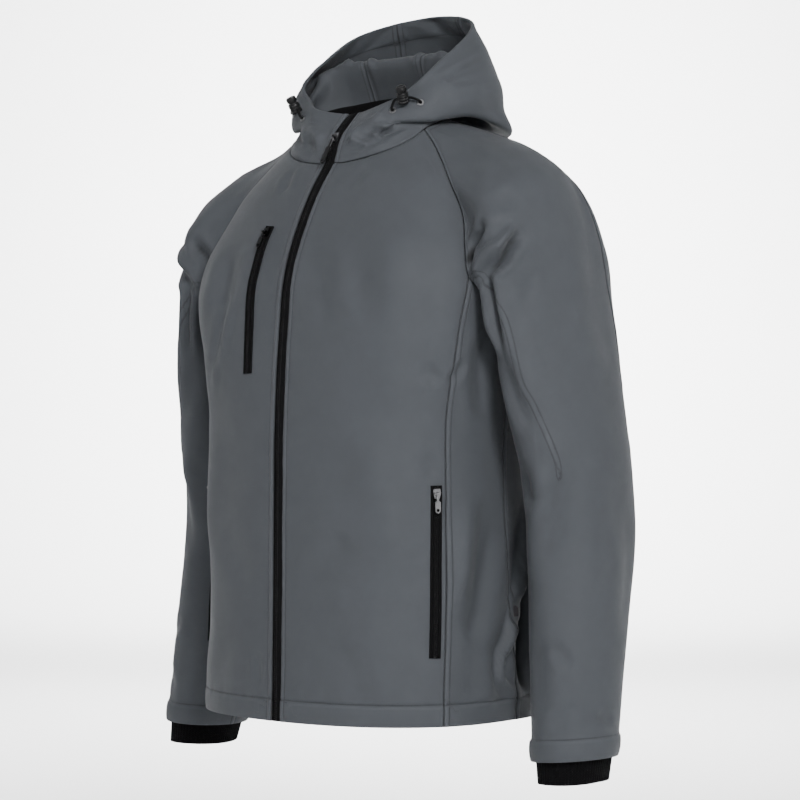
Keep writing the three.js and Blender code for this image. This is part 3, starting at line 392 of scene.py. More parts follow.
def zip_edge(z):
    """The place on the front edge at a height."""
    return float(torso_angle(ZIP_HALF_WIDTH, z)), z


def front_side_angle(z):
    """The angle of the seam between front and side, eased into the armhole's corner."""
    miss = FRONT_CORNER[0] - FRONT_SIDE_SEAM[-1, 1]
    share = (z - HEM_Z) / (ARMHOLE_Z - HEM_Z)
    return float(from_table(FRONT_SIDE_SEAM, z) + miss * near_armhole(share))


def back_side_angle(z):
    return float(from_table(SIDE_BACK_SEAM, z))


def front_bend(t):
    return t ** ROW_BEND


def torso_grid(rows, count, bend, far=EDGE_STEPS):
    """The points of a torso panel, from the angle and height of its rows' two ends."""
    grid = []
    for start, end in rows:
        line = torso(np.linspace(start[0], end[0], 24), np.linspace(start[1], end[1], 24))
        shares = across(lengths_along(line)[-1], count, far=far)
        grid.append(torso(*torso_row(start, end, shares, bend)))
    return np.array(grid)


def front_grid(step):
    """The left front panel: rows up the body, then up the raglan seam to the neck."""
    low = across(ARMHOLE_Z - HEM_Z, int(BODY_LENGTH / step), near=HEM_STEPS, far=[0])
    rows = [(zip_edge(z), (front_side_angle(z), z)) for z in lerp(HEM_Z, ARMHOLE_Z, low)]
    rows[-1] = (rows[-1][0], FRONT_CORNER)
    for t in across(FRONT_RAGLAN_LENGTH, int(FRONT_RAGLAN_LENGTH / step), near=[0])[1:]:
        angle, high = front_raglan(t)
        rows.append((zip_edge(lerp(ARMHOLE_Z, FRONT_NECK_Z, t)), (float(angle), float(high))))
    return torso_grid(rows, int(FRONT_WIDTH / step), front_bend)


def side_grid(step):
    """The left side panel, from the hem to the armhole."""
    low = across(ARMHOLE_Z - HEM_Z, int(BODY_LENGTH / step), near=HEM_STEPS)
    rows = []
    for t in low:
        z_front, z_back = lerp(HEM_Z, ARMHOLE_Z, t), lerp(HEM_Z, ARMPIT_Z, t)
        rows.append(((front_side_angle(z_front), z_front), (back_side_angle(z_back), z_back)))
    grid = torso_grid(rows, int(SIDE_WIDTH / step), lambda t: t)
    # The upper rows bow down to the armhole's curve
    top = torso(*under_curve(FRONT_CORNER, np.linspace(0, 1, 60)))
    row_lengths, top_lengths = lengths_along(grid[-1]), lengths_along(top)
    wanted = read_line(row_lengths / row_lengths[-1], top_lengths / top_lengths[-1], top)
    return grid + (wanted - grid[-1])[None] * near_armhole(low)[:, None, None]


def back_grid(step):
    """The whole back panel, its left half mirrored."""
    low = across(ARMPIT_Z - HEM_Z, int(BACK_LENGTH / step), near=HEM_STEPS, far=[0])
    rows = [((back_side_angle(z), z), (180, z)) for z in lerp(HEM_Z, ARMPIT_Z, low)]
    upper = [under_curve(BACK_CORNER, t) for t in np.linspace(1, 0, 9)[1:]]
    high = across(BACK_RAGLAN_LENGTH, int(BACK_RAGLAN_SPREAD / step), near=[0])[1:]
    upper += [back_raglan(t) for t in high]
    for a, z in upper:
        share = (z - ARMPIT_Z) / (BACK_RAGLAN[-1, 0] - ARMPIT_Z)
        rows.append(((float(a), float(z)), (180, lerp(ARMPIT_Z, BACK_NECK_Z, share))))
    count = int(BACK_HALF_WIDTH / step)
    half = torso_grid(rows, count, lambda t: 1 - front_bend(1 - t), far=[0])
    return np.concatenate([half, half[:, :-1][:, ::-1] * MIRROR], 1)


def sleeve_grid(step, on_back):
    """The front or the back half of the left sleeve."""
    stations = across(SLEEVE_LENGTH, int(SLEEVE_LENGTH / step), far=HEM_STEPS)
    first, last = (UNDER_NODE, LAST_NODE) if on_back else (0, UNDER_NODE)
    width = SLEEVE_BACK_WIDTH if on_back else SLEEVE_FRONT_WIDTH
    even = across(width, int(width / step))
    # The share of the way round follows the armhole's own places at the shoulder
    fine = FINE_K[(FINE_K >= first) & (FINE_K <= last)]
    fine_lengths = lengths_along(np.array([armhole_point(k) for k in fine]))
    k_of = np.interp(even, fine_lengths / fine_lengths[-1], fine)
    angles = np.interp(k_of, np.arange(LAST_NODE + 1), NODE_ANGLES)
    angle_share = (angles - angles[0]) / (angles[-1] - angles[0])
    rows = []
    for s, seam in zip(stations, from_table(SLEEVE_BACK_SEAM, stations)):
        start, end = (UNDER_SEAM, seam + 360) if on_back else (seam, UNDER_SEAM)
        mix = lerp(angle_share, even, smooth(s / 0.5))
        rows.append(sleeve(lerp(start, end, mix), np.full_like(mix, s)))
    return np.array(rows)


def hood_grid(step):
    """The whole hood, with its foot on the body's neck line; also its seam column and its rows."""
    front_top = front_grid(12)[-1]
    back_top = back_grid(12)[-1]
    back_top = back_top[: (len(back_top) + 1) // 2]
    neck = np.concatenate([front_top, neck_side(np.linspace(0, 1, 12)[1:-1]), back_top])
    lengths = lengths_along(neck)
    total = lengths[-1]
    seam_at = np.interp(-HOOD_CENTRE_X, -neck[-20:, 0], lengths[-20:])
    first = across(seam_at, int(seam_at / step * HOOD_FINER)) * seam_at
    middle = 2 * (total - seam_at)
    rest = seam_at + across(middle, 2 * int((total - seam_at) / step * HOOD_FINER)) * middle
    at = np.concatenate([first, rest[rest <= total + 1e-6][1:]])
    start = read_line(at, lengths, neck)
    table_lengths = lengths_along(HOOD[:, 0])
    w = np.interp(at / total * table_lengths[-1], table_lengths, HOOD_W)
    vs = np.concatenate([*(np.linspace(low, high, count)[:-1] for low, high, count in HOOD_STRETCHES), [1]])
    grid = np.array([hood(w, np.full_like(w, v)) for v in vs])
    fade = np.maximum(0, 1 - vs / HOOD_EASE)
    grid = grid + (start - grid[0])[None] * fade[:, None, None]
    return np.concatenate([grid, grid[:, :-1][:, ::-1] * MIRROR], 1), len(first) - 1, vs


def grid_normals(grid, flip):
    a = np.gradient(grid, axis=0)
    b = np.gradient(grid, axis=1)
    n = np.cross(a, b)
    n /= np.maximum(np.linalg.norm(n, axis=-1, keepdims=True), 1e-9)
    return -n if flip else n


def edge_distances(grid):
    """Distances in millimetres from each panel edge: bottom, top, first and last column."""
    rows = np.linalg.norm(np.diff(grid, axis=0), axis=-1)
    cols = np.linalg.norm(np.diff(grid, axis=1), axis=-1)
    zero_row = np.zeros((1, grid.shape[1]))
    zero_col = np.zeros((grid.shape[0], 1))
    bottom = np.concatenate([zero_row, np.cumsum(rows, 0)])
    first = np.concatenate([zero_col, np.cumsum(cols, 1)], 1)
    return {"bottom": bottom, "top": bottom[-1:] - bottom, "first": first, "last": first[:, -1:] - first}


# Looks: cloth with weave, stitches, soft colour changes and painted shade and highlight, knitted rib, tape,
# metal and plastic
SLATE = (0.036, 0.0392, 0.0445)
BLACK = (0.0024, 0.0024, 0.0026)
# Each stitch in millimetres, and the share of it that is thread
STITCH_LENGTH = 3.2
THREAD_SHARE = 0.76
# How much painted shade darkens the needle groove of a row of stitches, and how much the thread lightens it
NEEDLE_GROOVE_SHADE = 0.42
THREAD_LIGHT = 0.2
# The painted highlight beside a row of stitches, on the raised allowance, from its middle: where it starts
# to fade, where it ends, its light
HIGHLIGHT_BAND = (0.6, 3.0, 0.10)
HIGHLIGHT_BAND_MIDDLE = 3.2
# Painted shade: how dark a seam's groove is painted near it and away from it, and how light a fold is
# painted at its mouth and at its foot
SEAM_SHADE = (0.2, 1.4, 0.5, 0.0)
FOLD_SHADE = (3.5, 13.0, 1.0, 0.2)
# The places of weave, knit, tape and braid, in metres
WEAVE_CELL = 0.00075
KNIT_CELL = 0.0016
TAPE_CELL = 0.0009
BRAID_CELL = 0.0011


class Look:
    """A material whose colour, roughness and bump are put together from simple steps."""

    def __init__(self, name, roughness, **settings):
        self.material = bpy.data.materials.new(name)
        self.material.use_nodes = True
        self.tree = self.material.node_tree
        self.shader = self.tree.nodes["Principled BSDF"]
        self.shader.inputs["Roughness"].default_value = roughness
        for word, amount in settings.items():
            self.shader.inputs[word.replace("_", " ")].default_value = amount
        self.place = self.add("ShaderNodeTexCoord").outputs["Object"]

    def add(self, kind, **settings):
        node = self.tree.nodes.new(kind)
        for word, amount in settings.items():
            setattr(node, word, amount)
        return node

    def join(self, source, socket):
        if isinstance(source, (int, float, tuple)):
            socket.default_value = source
        else:
            self.tree.links.new(source, socket)

    def math(self, operation, *sources):
        node = self.add("ShaderNodeMath", operation=operation)
        for source, socket in zip(sources, node.inputs):
            self.join(source, socket)
        return node.outputs[0]

    def total(self, first, *others):
        for other in others:
            first = self.math("ADD", first, other)
        return first

    def times(self, a, b):
        return self.math("MULTIPLY", a, b)

    def noise(self, scale, detail=2.0, roughness=0.55):
        node = self.add("ShaderNodeTexNoise")
        self.join(self.place, node.inputs["Vector"])
        self.join(float(scale), node.inputs["Scale"])
        self.join(float(detail), node.inputs["Detail"])
        self.join(roughness, node.inputs["Roughness"])
        return node.outputs["Fac"]

    def speckle(self, scale, detail, amount, base):
        """An even value with a fine random unevenness, its scale in waves per metre."""
        return self.total(self.times(self.noise(scale, detail), amount), base)

    def span(self, source, low, high, to_low, to_high):
        """Eases a value from one span to another."""
        node = self.add("ShaderNodeMapRange", interpolation_type="SMOOTHSTEP")
        for word, amount in zip(("Value", "From Min", "From Max", "To Min", "To Max"),
                                (source, low, high, to_low, to_high)):
            self.join(amount, node.inputs[word])
        return node.outputs["Result"]

    def mark(self, name):
        return self.add("ShaderNodeAttribute", attribute_name=name).outputs["Fac"]

    def sewn_place(self, cell):
        """Waves along and across the cloth, cell metres apart, from its own flat sizes."""
        uv = self.add("ShaderNodeUVMap", uv_map="cloth").outputs["UV"]
        parts = self.add("ShaderNodeSeparateXYZ")
        self.join(uv, parts.inputs[0])
        turn = 2 * math.pi / cell
        return [self.math("SINE", self.times(parts.outputs[i], turn)) for i in range(2)]

    def colour(self, base, shade):
        """The base colour made lighter or darker by shade, one number per place."""
        node = self.add("ShaderNodeVectorMath", operation="SCALE")
        node.inputs[0].default_value = base
        self.join(shade, node.inputs["Scale"])
        self.join(node.outputs[0], self.shader.inputs["Base Color"])

    def bump(self, height, distance, strength=1.0):
        node = self.add("ShaderNodeBump")
        self.join(strength, node.inputs["Strength"])
        self.join(distance, node.inputs["Distance"])
        self.join(height, node.inputs["Height"])
        self.join(node.outputs[0], self.shader.inputs["Normal"])


def sewn_cloth(name, base, lightness):
    """Bonded cloth: needle holes and thread with painted shade in their groove, a painted highlight beside
    them, painted shade in seams and folds; a lightness below one paints the whole cloth in shade.
    """
    look = Look(name, 0.76, Sheen_Weight=0.04, Sheen_Roughness=0.45, Specular_IOR_Level=0.2)
    signed = look.mark("stitch_away")
    away = look.math("ABSOLUTE", signed)
    # needle marks the groove of a row of stitches: its bump, and painted shade in the colour
    needle = look.span(away, 0.3, 0.95, 1.0, 0.0)
    beat = look.math("FRACT", look.math("DIVIDE", look.mark("stitch_along"), STITCH_LENGTH))
    dash = look.span(beat, THREAD_SHARE, THREAD_SHARE + 0.12, 1.0, 0.0)
    thread = look.times(look.span(away, 0.2, 0.45, 1.0, 0.0), dash)
    # Painted highlight on the raised allowance beside a row of stitches
    painted_highlight = look.span(look.math("ABSOLUTE", look.total(signed, HIGHLIGHT_BAND_MIDDLE)), *HIGHLIGHT_BAND, 0.0)
    # Painted shade in the groove of a seam
    seam_groove_shade = look.span(look.mark("seam_away"), *SEAM_SHADE)
    shade = look.total(
        look.speckle(38, 3, 0.16, -0.08), look.speckle(6, 1, 0.12, -0.06), lightness, painted_highlight,
        look.times(needle, -NEEDLE_GROOVE_SHADE), look.times(thread, THREAD_LIGHT), look.times(seam_groove_shade, -1.0),
    )
    # Painted shade in deep folds darkens the colour
    look.colour(base, look.times(shade, look.span(look.mark("fold_painted_shade"), *FOLD_SHADE)))
    look.join(look.speckle(60, 2, 0.14, 0.64), look.shader.inputs["Roughness"])
    warp, weft = look.sewn_place(WEAVE_CELL)
    height = look.total(
        look.times(look.times(warp, weft), 0.10), look.times(needle, -0.9), look.times(thread, 0.7),
        look.times(look.noise(420, 2), 0.16),
    )
    look.bump(height, 0.0004, 0.7)
    return look.material


def fleece():
    look = Look("fleece_lining", 0.95, Sheen_Weight=0.02, Sheen_Roughness=0.6, Specular_IOR_Level=0.03)
    look.colour(BLACK, look.speckle(260, 4, 1.6, 0.5))
    look.bump(look.noise(340, 5, 0.7), 0.0008, 0.8)
    return look.material


def knit():
    look = Look("knitted_rib", 0.92, Sheen_Weight=0.01, Sheen_Roughness=0.5, Specular_IOR_Level=0.03)
    warp, weft = look.sewn_place(KNIT_CELL)
    look.colour(BLACK, look.speckle(300, 3, 0.8, 0.7))
    look.bump(look.total(look.times(warp, 0.3), look.times(weft, 0.6), look.noise(500, 2)), 0.0003, 0.6)
    return look.material


def tape():
    look = Look("zip_tape", 0.7, Specular_IOR_Level=0.04)
    warp, weft = look.sewn_place(TAPE_CELL)
    look.colour(BLACK, look.speckle(220, 3, 0.9, 0.8))
    look.bump(look.times(look.total(warp, weft), 0.5), 0.0002, 0.5)
    return look.material


def braid():
    look = Look("braided_cord", 0.75, Sheen_Weight=0.01, Specular_IOR_Level=0.08)
    strands = look.times(*look.sewn_place(BRAID_CELL))
    look.colour(BLACK, look.total(look.times(strands, 0.4), 1.2))
    look.bump(strands, 0.0003, 0.7)
    return look.material


def grained(name, base, roughness, tint, grain, polish=None, **settings):
    """A plain material. tint and polish are the speckles of colour and roughness: scale, detail,
    amount, base. grain is its bumps: scale, depth in metres, strength."""
    look = Look(name, roughness, **settings)
    look.colour(base, look.speckle(*tint))
    if polish:
        look.join(look.speckle(*polish), look.shader.inputs["Roughness"])
    scale, depth, strength = grain
    look.bump(look.noise(scale, 2), depth, strength)
    return look.material


def metal(name, base):
    grain, polish = (1300, 0.00005, 0.35), (700, 3, 0.25, 0.2)
    return grained(name, base, 0.32, (420, 4, 0.35, 0.8), grain, polish, Metallic=1.0)


def backdrop():
    look = Look("studio_white", 0.95)
    look.colour((0.92, 0.92, 0.92), look.speckle(0.6, 1, 0.02, 0.99))
    return look.material


MATERIALS = {
    "cloth": sewn_cloth("softshell", SLATE, 1.0),
    # The hood's inside: the same cloth painted a little darker, as painted shade
    "hood_inside": sewn_cloth("softshell_inside_painted_shade", SLATE, 0.9),
    "lining": fleece(),
    "rib": knit(),
    "zip_tape": tape(),
    "zip_coil": grained("zip_coil", BLACK, 0.4, (500, 2, 0.6, 1.3), (900, 0.0001, 0.4),
                        Specular_IOR_Level=0.12),
    "slider_metal": metal("silver_grey_metal", (0.17, 0.17, 0.175)),
    "dark_metal": metal("blackened_metal", (0.012, 0.012, 0.013)),
    "plastic": grained("black_plastic", BLACK, 0.42, (150, 3, 0.5, 1.4), (800, 0.00008, 0.5),
                       (300, 3, 0.2, 0.32), Specular_IOR_Level=0.22),
    "cord": braid(),
    "label": grained("woven_label", (0.013, 0.010, 0.013), 0.6, (900, 2, 0.6, 0.8), (900, 0.0001, 0.6),
                     Specular_IOR_Level=0.15),
    "backdrop": backdrop(),
}
# The chest zip's slider is blackened, unlike the other three
BLACKENED = ["slider_chest", "pull_chest"]
for subpart in frame["record"]["subparts"]:
    word = "dark_metal" if subpart["node"] in BLACKENED else subpart["material_slot"]
    for shown_slot in frame["nodes"][subpart["node"]].material_slots:
        shown_slot.material = MATERIALS[word]

# Creases: soft troughs (below zero) and ridges, in millimetres. Columns: side (1 is the wearer's left),
# width, depth, the share of the depth on the other side, and points in the surface's own two sizes
CREASES = {
    "torso": [
        # Front of the body, angle and height
        (1, 22, 3.5, 0.8, [(29.5, -352), (37.5, -442), (45.5, -556)]),
        (1, 18, -3.8, 0.6, [(26, -480), (18.5, -512), (9, -552)]),
        (1, 16, -2.6, 0.0, [(3, -134), (6, -192), (12, -268)]),
        (1, 9, -3.2, 0.5, [(61, -312), (58, -303), (53, -292)]),
        (1, 8, -2.9, 0.4, [(54, -388), (58, -404), (61, -420)]),
        (1, 24, 2.9, 0.7, [(30, -120), (33, -180), (36, -250)]),
        (1, 20, -2.6, 0.5, [(47, -200), (50, -262), (48, -330)]),
        (1, 26, -2.9, 0.9, [(54, -470), (52, -560), (50, -650)]),
        (1, 14, -2.2, 0.6, [(20, -600), (26, -640), (30, -676)]),
        (-1, 16, -6.1, 0.3, [(26.5, -146), (21.5, -188), (24, -236)]),
        (-1, 7, 2.8, 0.0, [(14, -196), (17, -230), (21, -262), (28, -294), (34, -326)]),
        (-1, 9, -2.9, 0.0, [(18, -206), (24, -266), (31, -300)]),
        (-1, 7, -3.2, 0.4, [(20.5, -56), (16, -70), (13, -88)]),
        (-1, 6, -2.6, 0.0, [(6.5, -622), (6, -640), (7, -662)]),
        (-1, 24, 3.2, 0.5, [(38, -330), (44, -420), (42, -520)]),
        (-1, 20, -3.5, 0.0, [(48, -230), (54, -300), (52, -372)]),
        # Sides of the body
        (1, 5, -3.8, 0.7, [(65, -312), (69, -298), (74, -282)]),
        (1, 16, -6.5, 0.6, [(88.5, -440), (83.5, -514), (78, -580), (71, -600)]),
        (1, 14, 4.3, 0.6, [(76, -430), (73, -500), (70, -570)]),
        (1, 14, 3.8, 0.8, [(80, -610), (84, -650), (82, -690)]),
        (1, 12, -5.1, 0.8, [(84, -240), (80, -300), (84, -360)]),
        (1, 12, -17.0, 0.5, [(120, -430), (111, -510), (103, -590), (99, -640), (110, -692)]),
        (1, 6, 9.5, 0.5, [(108, -430), (100, -510), (92, -600), (89, -648), (98, -692)]),
        # Back of the body
        (1, 26, -5.8, 0.7, [(150, -330), (146, -430), (150, -540)]),
        (1, 22, 4.3, 0.6, [(136, -300), (130, -380), (134, -470)]),
        (1, 18, -4.6, 0.5, [(163, -250), (157, -310), (146, -352)]),
        (1, 16, -4.3, 0.8, [(124, -232), (132, -280), (144, -318)]),
        (1, 24, 3.8, 0.5, [(166, -420), (170, -520), (166, -640)]),
        (1, 20, -3.8, 0.9, [(172, -90), (168, -140), (158, -182)]),
        (-1, 14, -3.2, 0.4, [(168, -590), (158, -620), (146, -632)]),
    ],
    "sleeve": [
        # Left sleeve, angle round the arm and share of its length
        (1, 6, -14.0, 0.7, [(86, 0.236), (98, 0.196), (112, 0.132), (128, 0.06), (142, 0.02)]),
        (1, 5.5, 6.5, 0.6, [(136, 0.15), (123, 0.20), (86, 0.308), (64, 0.322), (46, 0.318)]),
        (1, 6, -10.5, 0.7, [(120, 0.29), (80, 0.348), (60, 0.342), (48, 0.335)]),
        (1, 7, 7.0, 0.6, [(146, 0.16), (124, 0.33), (113, 0.41), (112, 0.48)]),
        (1, 4.5, -12.0, 0.6, [(110, 0.31), (102, 0.37), (98, 0.42), (99, 0.48)]),
        (1, 12, -2.9, 0.5, [(36, 0.30), (58, 0.272), (74, 0.262)]),
        (1, 14, -3.1, 0.6, [(30, 0.40), (52, 0.42), (72, 0.47)]),
        (1, 16, 3.4, 0.7, [(60, 0.40), (66, 0.47), (60, 0.55)]),
        (1, 10, -4.4, 0.6, [(102, 0.46), (92, 0.52), (76, 0.575)]),
        (1, 16, -5.2, 0.8, [(46, 0.588), (62, 0.645), (75, 0.704), (90, 0.752)]),
        (1, 12, 3.4, 0.7, [(74, 0.60), (84, 0.655), (98, 0.71)]),
        (1, 12, -4.2, 0.6, [(112, 0.60), (104, 0.64), (88, 0.662)]),
        (1, 18, -3.6, 0.8, [(-10, 0.655), (-26, 0.74), (-18, 0.83)]),
        (1, 20, 2.6, 0.5, [(20, 0.60), (28, 0.70), (34, 0.80)]),
        (1, 7, -3.4, 0.7, [(78, 0.82), (64, 0.838), (50, 0.858)]),
        (1, 12, -3.1, 0.6, [(96, 0.80), (100, 0.86), (92, 0.925)]),
        (1, 6, -3.4, 0.8, [(-12, 0.944), (4, 0.934), (20, 0.926)]),
        (1, 7, -2.9, 0.6, [(44, 0.905), (62, 0.925), (80, 0.948)]),
        (1, 22, 2.9, 0.6, [(-2, 0.34), (2, 0.44), (-4, 0.54)]),
        (1, 13, -4.7, 0.8, [(262, 0.235), (250, 0.29), (232, 0.345)]),
        (1, 10, -3.9, 0.7, [(222, 0.40), (240, 0.45), (262, 0.48)]),
        (1, 14, -4.2, 0.8, [(286, 0.56), (262, 0.60), (232, 0.615)]),
        (1, 12, 3.6, 0.8, [(292, 0.605), (268, 0.645), (240, 0.66)]),
        (1, 14, -3.9, 0.7, [(270, 0.68), (254, 0.76), (262, 0.86)]),
        (1, 12, -3.4, 0.7, [(182, 0.40), (196, 0.47), (188, 0.56)]),
    ],
    "hood": [
        # Hood, share of the way round from the left front edge and share of the way up
        (1, 3.5, -7.0, 0.0, [(0.16, 0.42), (0.19, 0.455), (0.22, 0.40), (0.25, 0.28),
                            (0.31, 0.19), (0.38, 0.15)]),
        (1, 4, 4.0, 0.0, [(0.13, 0.58), (0.10, 0.55), (0.08, 0.42), (0.10, 0.32),
                         (0.16, 0.27), (0.22, 0.22)]),
        (1, 8, 4.0, 0.8, [(0.92, 0.50), (0.86, 0.53), (0.80, 0.57), (0.74, 0.60)]),
        (1, 6, -5.0, 0.8, [(0.14, 0.235), (0.21, 0.25), (0.27, 0.232), (0.35, 0.19)]),
        (1, 6, 4.2, 0.4, [(0.17, 0.36), (0.24, 0.34), (0.31, 0.30)]),
        (1, 6, 3.4, 0.6, [(0.06, 0.20), (0.08, 0.36), (0.12, 0.52)]),
        (1, 6, -3.4, 0.5, [(0.12, 0.16), (0.15, 0.34), (0.19, 0.50)]),
        (1, 6, 2.6, 0.0, [(0.16, 0.56), (0.20, 0.66), (0.22, 0.74)]),
        (-1, 7, -3.4, 0.0, [(0.08, 0.10), (0.13, 0.24), (0.22, 0.34)]),
        (-1, 6, 3.1, 0.0, [(0.05, 0.34), (0.10, 0.50), (0.20, 0.60)]),
        (1, 5, -4.2, 0.8, [(0.545, 0.925), (0.62, 0.90), (0.75, 0.885)]),
        (1, 4, -2.9, 0.8, [(0.56, 0.875), (0.62, 0.862), (0.69, 0.855)]),
        (1, 10, 3.1, 0.8, [(0.60, 0.955), (0.70, 0.93), (0.80, 0.93)]),
        (1, 16, -3.9, 0.8, [(0.60, 0.72), (0.72, 0.76), (0.86, 0.74)]),
        (1, 12, -4.4, 0.6, [(0.97, 0.66), (1.00, 0.78), (0.97, 0.88)]),
        (1, 12, -3.9, 0.7, [(0.84, 0.70), (0.88, 0.80), (0.86, 0.90)]),
        (-1, 5, -4.4, 0.5, [(0.84, 0.25), (0.85, 0.36), (0.80, 0.42)]),
        (-1, 5, 3.1, 0.5, [(0.78, 0.22), (0.79, 0.34), (0.74, 0.42)]),
        (-1, 6, -3.9, 0.6, [(0.66, 0.20), (0.70, 0.33), (0.68, 0.42)]),
        (-1, 5, -2.9, 0.8, [(0.93, 0.20), (0.92, 0.31), (0.94, 0.40)]),
    ],
}
# Seams sewn across the sleeves, from the armpit to the elbow, on its own sizes
ELBOW_SEAM = [
    (147, 0.06), (128, 0.20), (113, 0.318), (93, 0.396), (79, 0.444), (77, 0.508), (69, 0.536), (64, 0.564),
    (58, 0.604), (58, 0.626),
]
ELBOW_SEAM_HALF = 3.2
ELBOW_SEAM_RISE = 0.5
RIPPLE = 0.7
ARMHOLE_CALM = 14
ARMHOLE_REACH = 40
OTHER_SIDE_WIDER = 1.1
# In widths of a crease: how far it reaches, and where the cloth beside it stands the other way
CREASE_REACH = 3
COUNTER_AT = 1.9
COUNTER_WIDTH = 0.7
COUNTER_SHARE = 0.3
# The share of a crease over which each end fades
END_RUN = 0.3
# Troughs at least this deep get painted shade in the cloth's colour, a little narrower and longer than the
# trough
FOLD_FROM = 4
FOLD_NARROWER = 1.2
FOLD_END_RUN = 0.25
HARDWARE = [
    "slider_main", "slider_chest", "slider_pocket_left", "slider_pocket_right", "label_side",
    "eyelet_front_left", "eyelet_front_right", "eyelet_rear_left", "eyelet_rear_right",
    "toggle_left", "toggle_right",
]
CALM_REACH = 17
SURFACES = {"torso": torso, "sleeve": sleeve, "hood": hood}


def surface_line(surface, side, points, count=14):
    """A smooth line through places on a surface, on one side of the body."""
    table = np.array(points, float)
    places = spline(np.linspace(0, 1, len(table)), table, np.linspace(0, 1, count))
    line = SURFACES[surface](places[:, 0], places[:, 1])
    return line * MIRROR if side < 0 else line


def near_line(points, line):
    """How far each point is from a line, and the share of the way along it."""
    best = np.full(len(points), 1e9)
    share = np.zeros(len(points))
    for i, (a, b) in enumerate(zip(line[:-1], line[1:])):
        ab = b - a
        t = np.clip((points - a) @ ab / (ab @ ab), 0, 1)
        d = np.linalg.norm(points - (a + t[:, None] * ab), axis=1)
        closer = d < best
        best = np.where(closer, d, best)
        share = np.where(closer, (i + t) / (len(line) - 1), share)
    return best, share


def laid_creases(surface):
    """Width, depth and line of each crease of a surface, on both sides of the body."""
    lines = []
    for side, width, depth, other, points in CREASES[surface]:
        lines.append((width, depth, surface_line(surface, side, points)))
        if other:
            lines.append((width * OTHER_SIDE_WIDER, depth * other, surface_line(surface, -side, points)))
    return lines


CREASE_LINES = {surface: laid_creases(surface) for surface in SURFACES}
hardware_places = np.array([np.mean(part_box(name), axis=0) for name in HARDWARE]) / MM


def calm(points):
    """Falls to zero close to the hardware, where the cloth stays as the solids have it."""
    keep = np.ones(len(points))
    for place in hardware_places:
        keep *= 1 - np.exp(-(np.linalg.norm(points - place, axis=1) / CALM_REACH) ** 4)
    return keep


def ripple(x, y, z):
    """A slight unevenness of the cloth, a hand's breadth across."""
    return (
        np.sin(x / 31 + z / 67 + 1.1) * np.sin(y / 37 - z / 83)
        + 0.6 * np.sin(x / 19 - z / 41 + 2.3) * np.sin(y / 23 + z / 29 + 0.7)
    )


ARMHOLE_LINE = FINE_RING[::5]


def calm_armhole(points):
    """Keeps the seam between body and sleeve closed, where the two face different ways."""
    here = points * MIRROR if points[:, 0].mean() < 0 else points
    low, high = ARMHOLE_LINE.min(0) - ARMHOLE_REACH, ARMHOLE_LINE.max(0) + ARMHOLE_REACH
    near = np.nonzero(((here > low) & (here < high)).all(1))[0]
    keep = np.ones(len(points))
    if len(near):
        keep[near] = smooth(near_line(here[near], ARMHOLE_LINE)[0] / ARMHOLE_CALM)
    return keep


def faded(share, run):
    """One along the middle of a line, zero at its ends."""
    return smooth(share / run) * smooth((1 - share) / run)


def crease_form(points, surface):
    """How far the cloth stands out of its smooth form at points on it, and how much painted shade it gets
    from lying deep in a fold.
    """
    lift = RIPPLE * ripple(*points.T)
    fold = np.zeros(len(points))
    for width, depth, line in CREASE_LINES[surface]:
        low, high = line.min(0) - CREASE_REACH * width, line.max(0) + CREASE_REACH * width
        near = np.nonzero(((points > low) & (points < high)).all(1))[0]
        if not len(near):
            continue
        away, share = near_line(points[near], line)
        away = away / width
        counter = COUNTER_SHARE * bell(away - COUNTER_AT, COUNTER_WIDTH)
        lift[near] += depth * faded(share, END_RUN) * (bell(away, 1) - counter)
        # Deep troughs also give painted shade, kept as a mark for the cloth's colour
        if depth <= -FOLD_FROM:
            shade = -depth * faded(share, FOLD_END_RUN) * bell(FOLD_NARROWER * away, 1)
            fold[near] = np.maximum(fold[near], shade)
    if surface != "hood":
        lift *= calm_armhole(points)
    return lift * calm(points), fold


def waver(along):
    """Small uneven waves along a row of stitches."""
    return np.sin(along / 3.1 + 0.4) * np.sin(along / 11.3) + 0.7 * np.sin(along / 5.3 + 1.9)


HEM_SWELL = 1.4
CUFF_SWELL = 3.4
HEM_MIDDLE = 12
HEM_HALF = 13.5
SEAM_DIP = 0.9
SEAM_DIP_WIDTH = 1.1
HEM_DIP = 1.0
# The seam allowance under the cloth lifts it as far as its row of stitches, which pulls it in
ALLOWANCE_RISE = 0.8
STITCH_DIP = 0.6
STITCH_DIP_WIDTH = 0.8
SEAM_WAVER = 0.16
HEM_WAVER = 0.35
# The brim: its facing inside the hood, the roll of its edge, and the tip where it turns under
FACING = 24
ROLL_WIDTH = 6
TIP_WIDTH = 1.2
BRIM_RISE = 1.3
TIP_DROP = 1.4
INSIDE_ROLL = 1.5
PUCKER = 2.0
FACING_DIP = 0.9
# Stands for no seam or stitches nearby
FAR = 60.0


def seam_relief(away, stitched):
    relief = -SEAM_DIP * bell(away, SEAM_DIP_WIDTH)
    if stitched:
        relief = relief + ALLOWANCE_RISE * (1 - smooth((away - 6) / 3))
        relief = relief - STITCH_DIP * bell(away - STITCH_AT, STITCH_DIP_WIDTH)
    return relief


def hem_relief(away, swell):
    tube_form = np.sqrt(np.clip(1 - ((away - HEM_MIDDLE) / HEM_HALF) ** 2, 0, 1))
    return swell * tube_form - HEM_DIP * bell(away - HEM_BAND, SEAM_DIP_WIDTH)


def closer_row(stitch, along, signed, run):
    """Two rows of stitches as one: whichever is closer at each place, and how far along it."""
    closer = np.abs(signed) < np.abs(stitch)
    return np.where(closer, signed, stitch), np.where(closer, run, along)


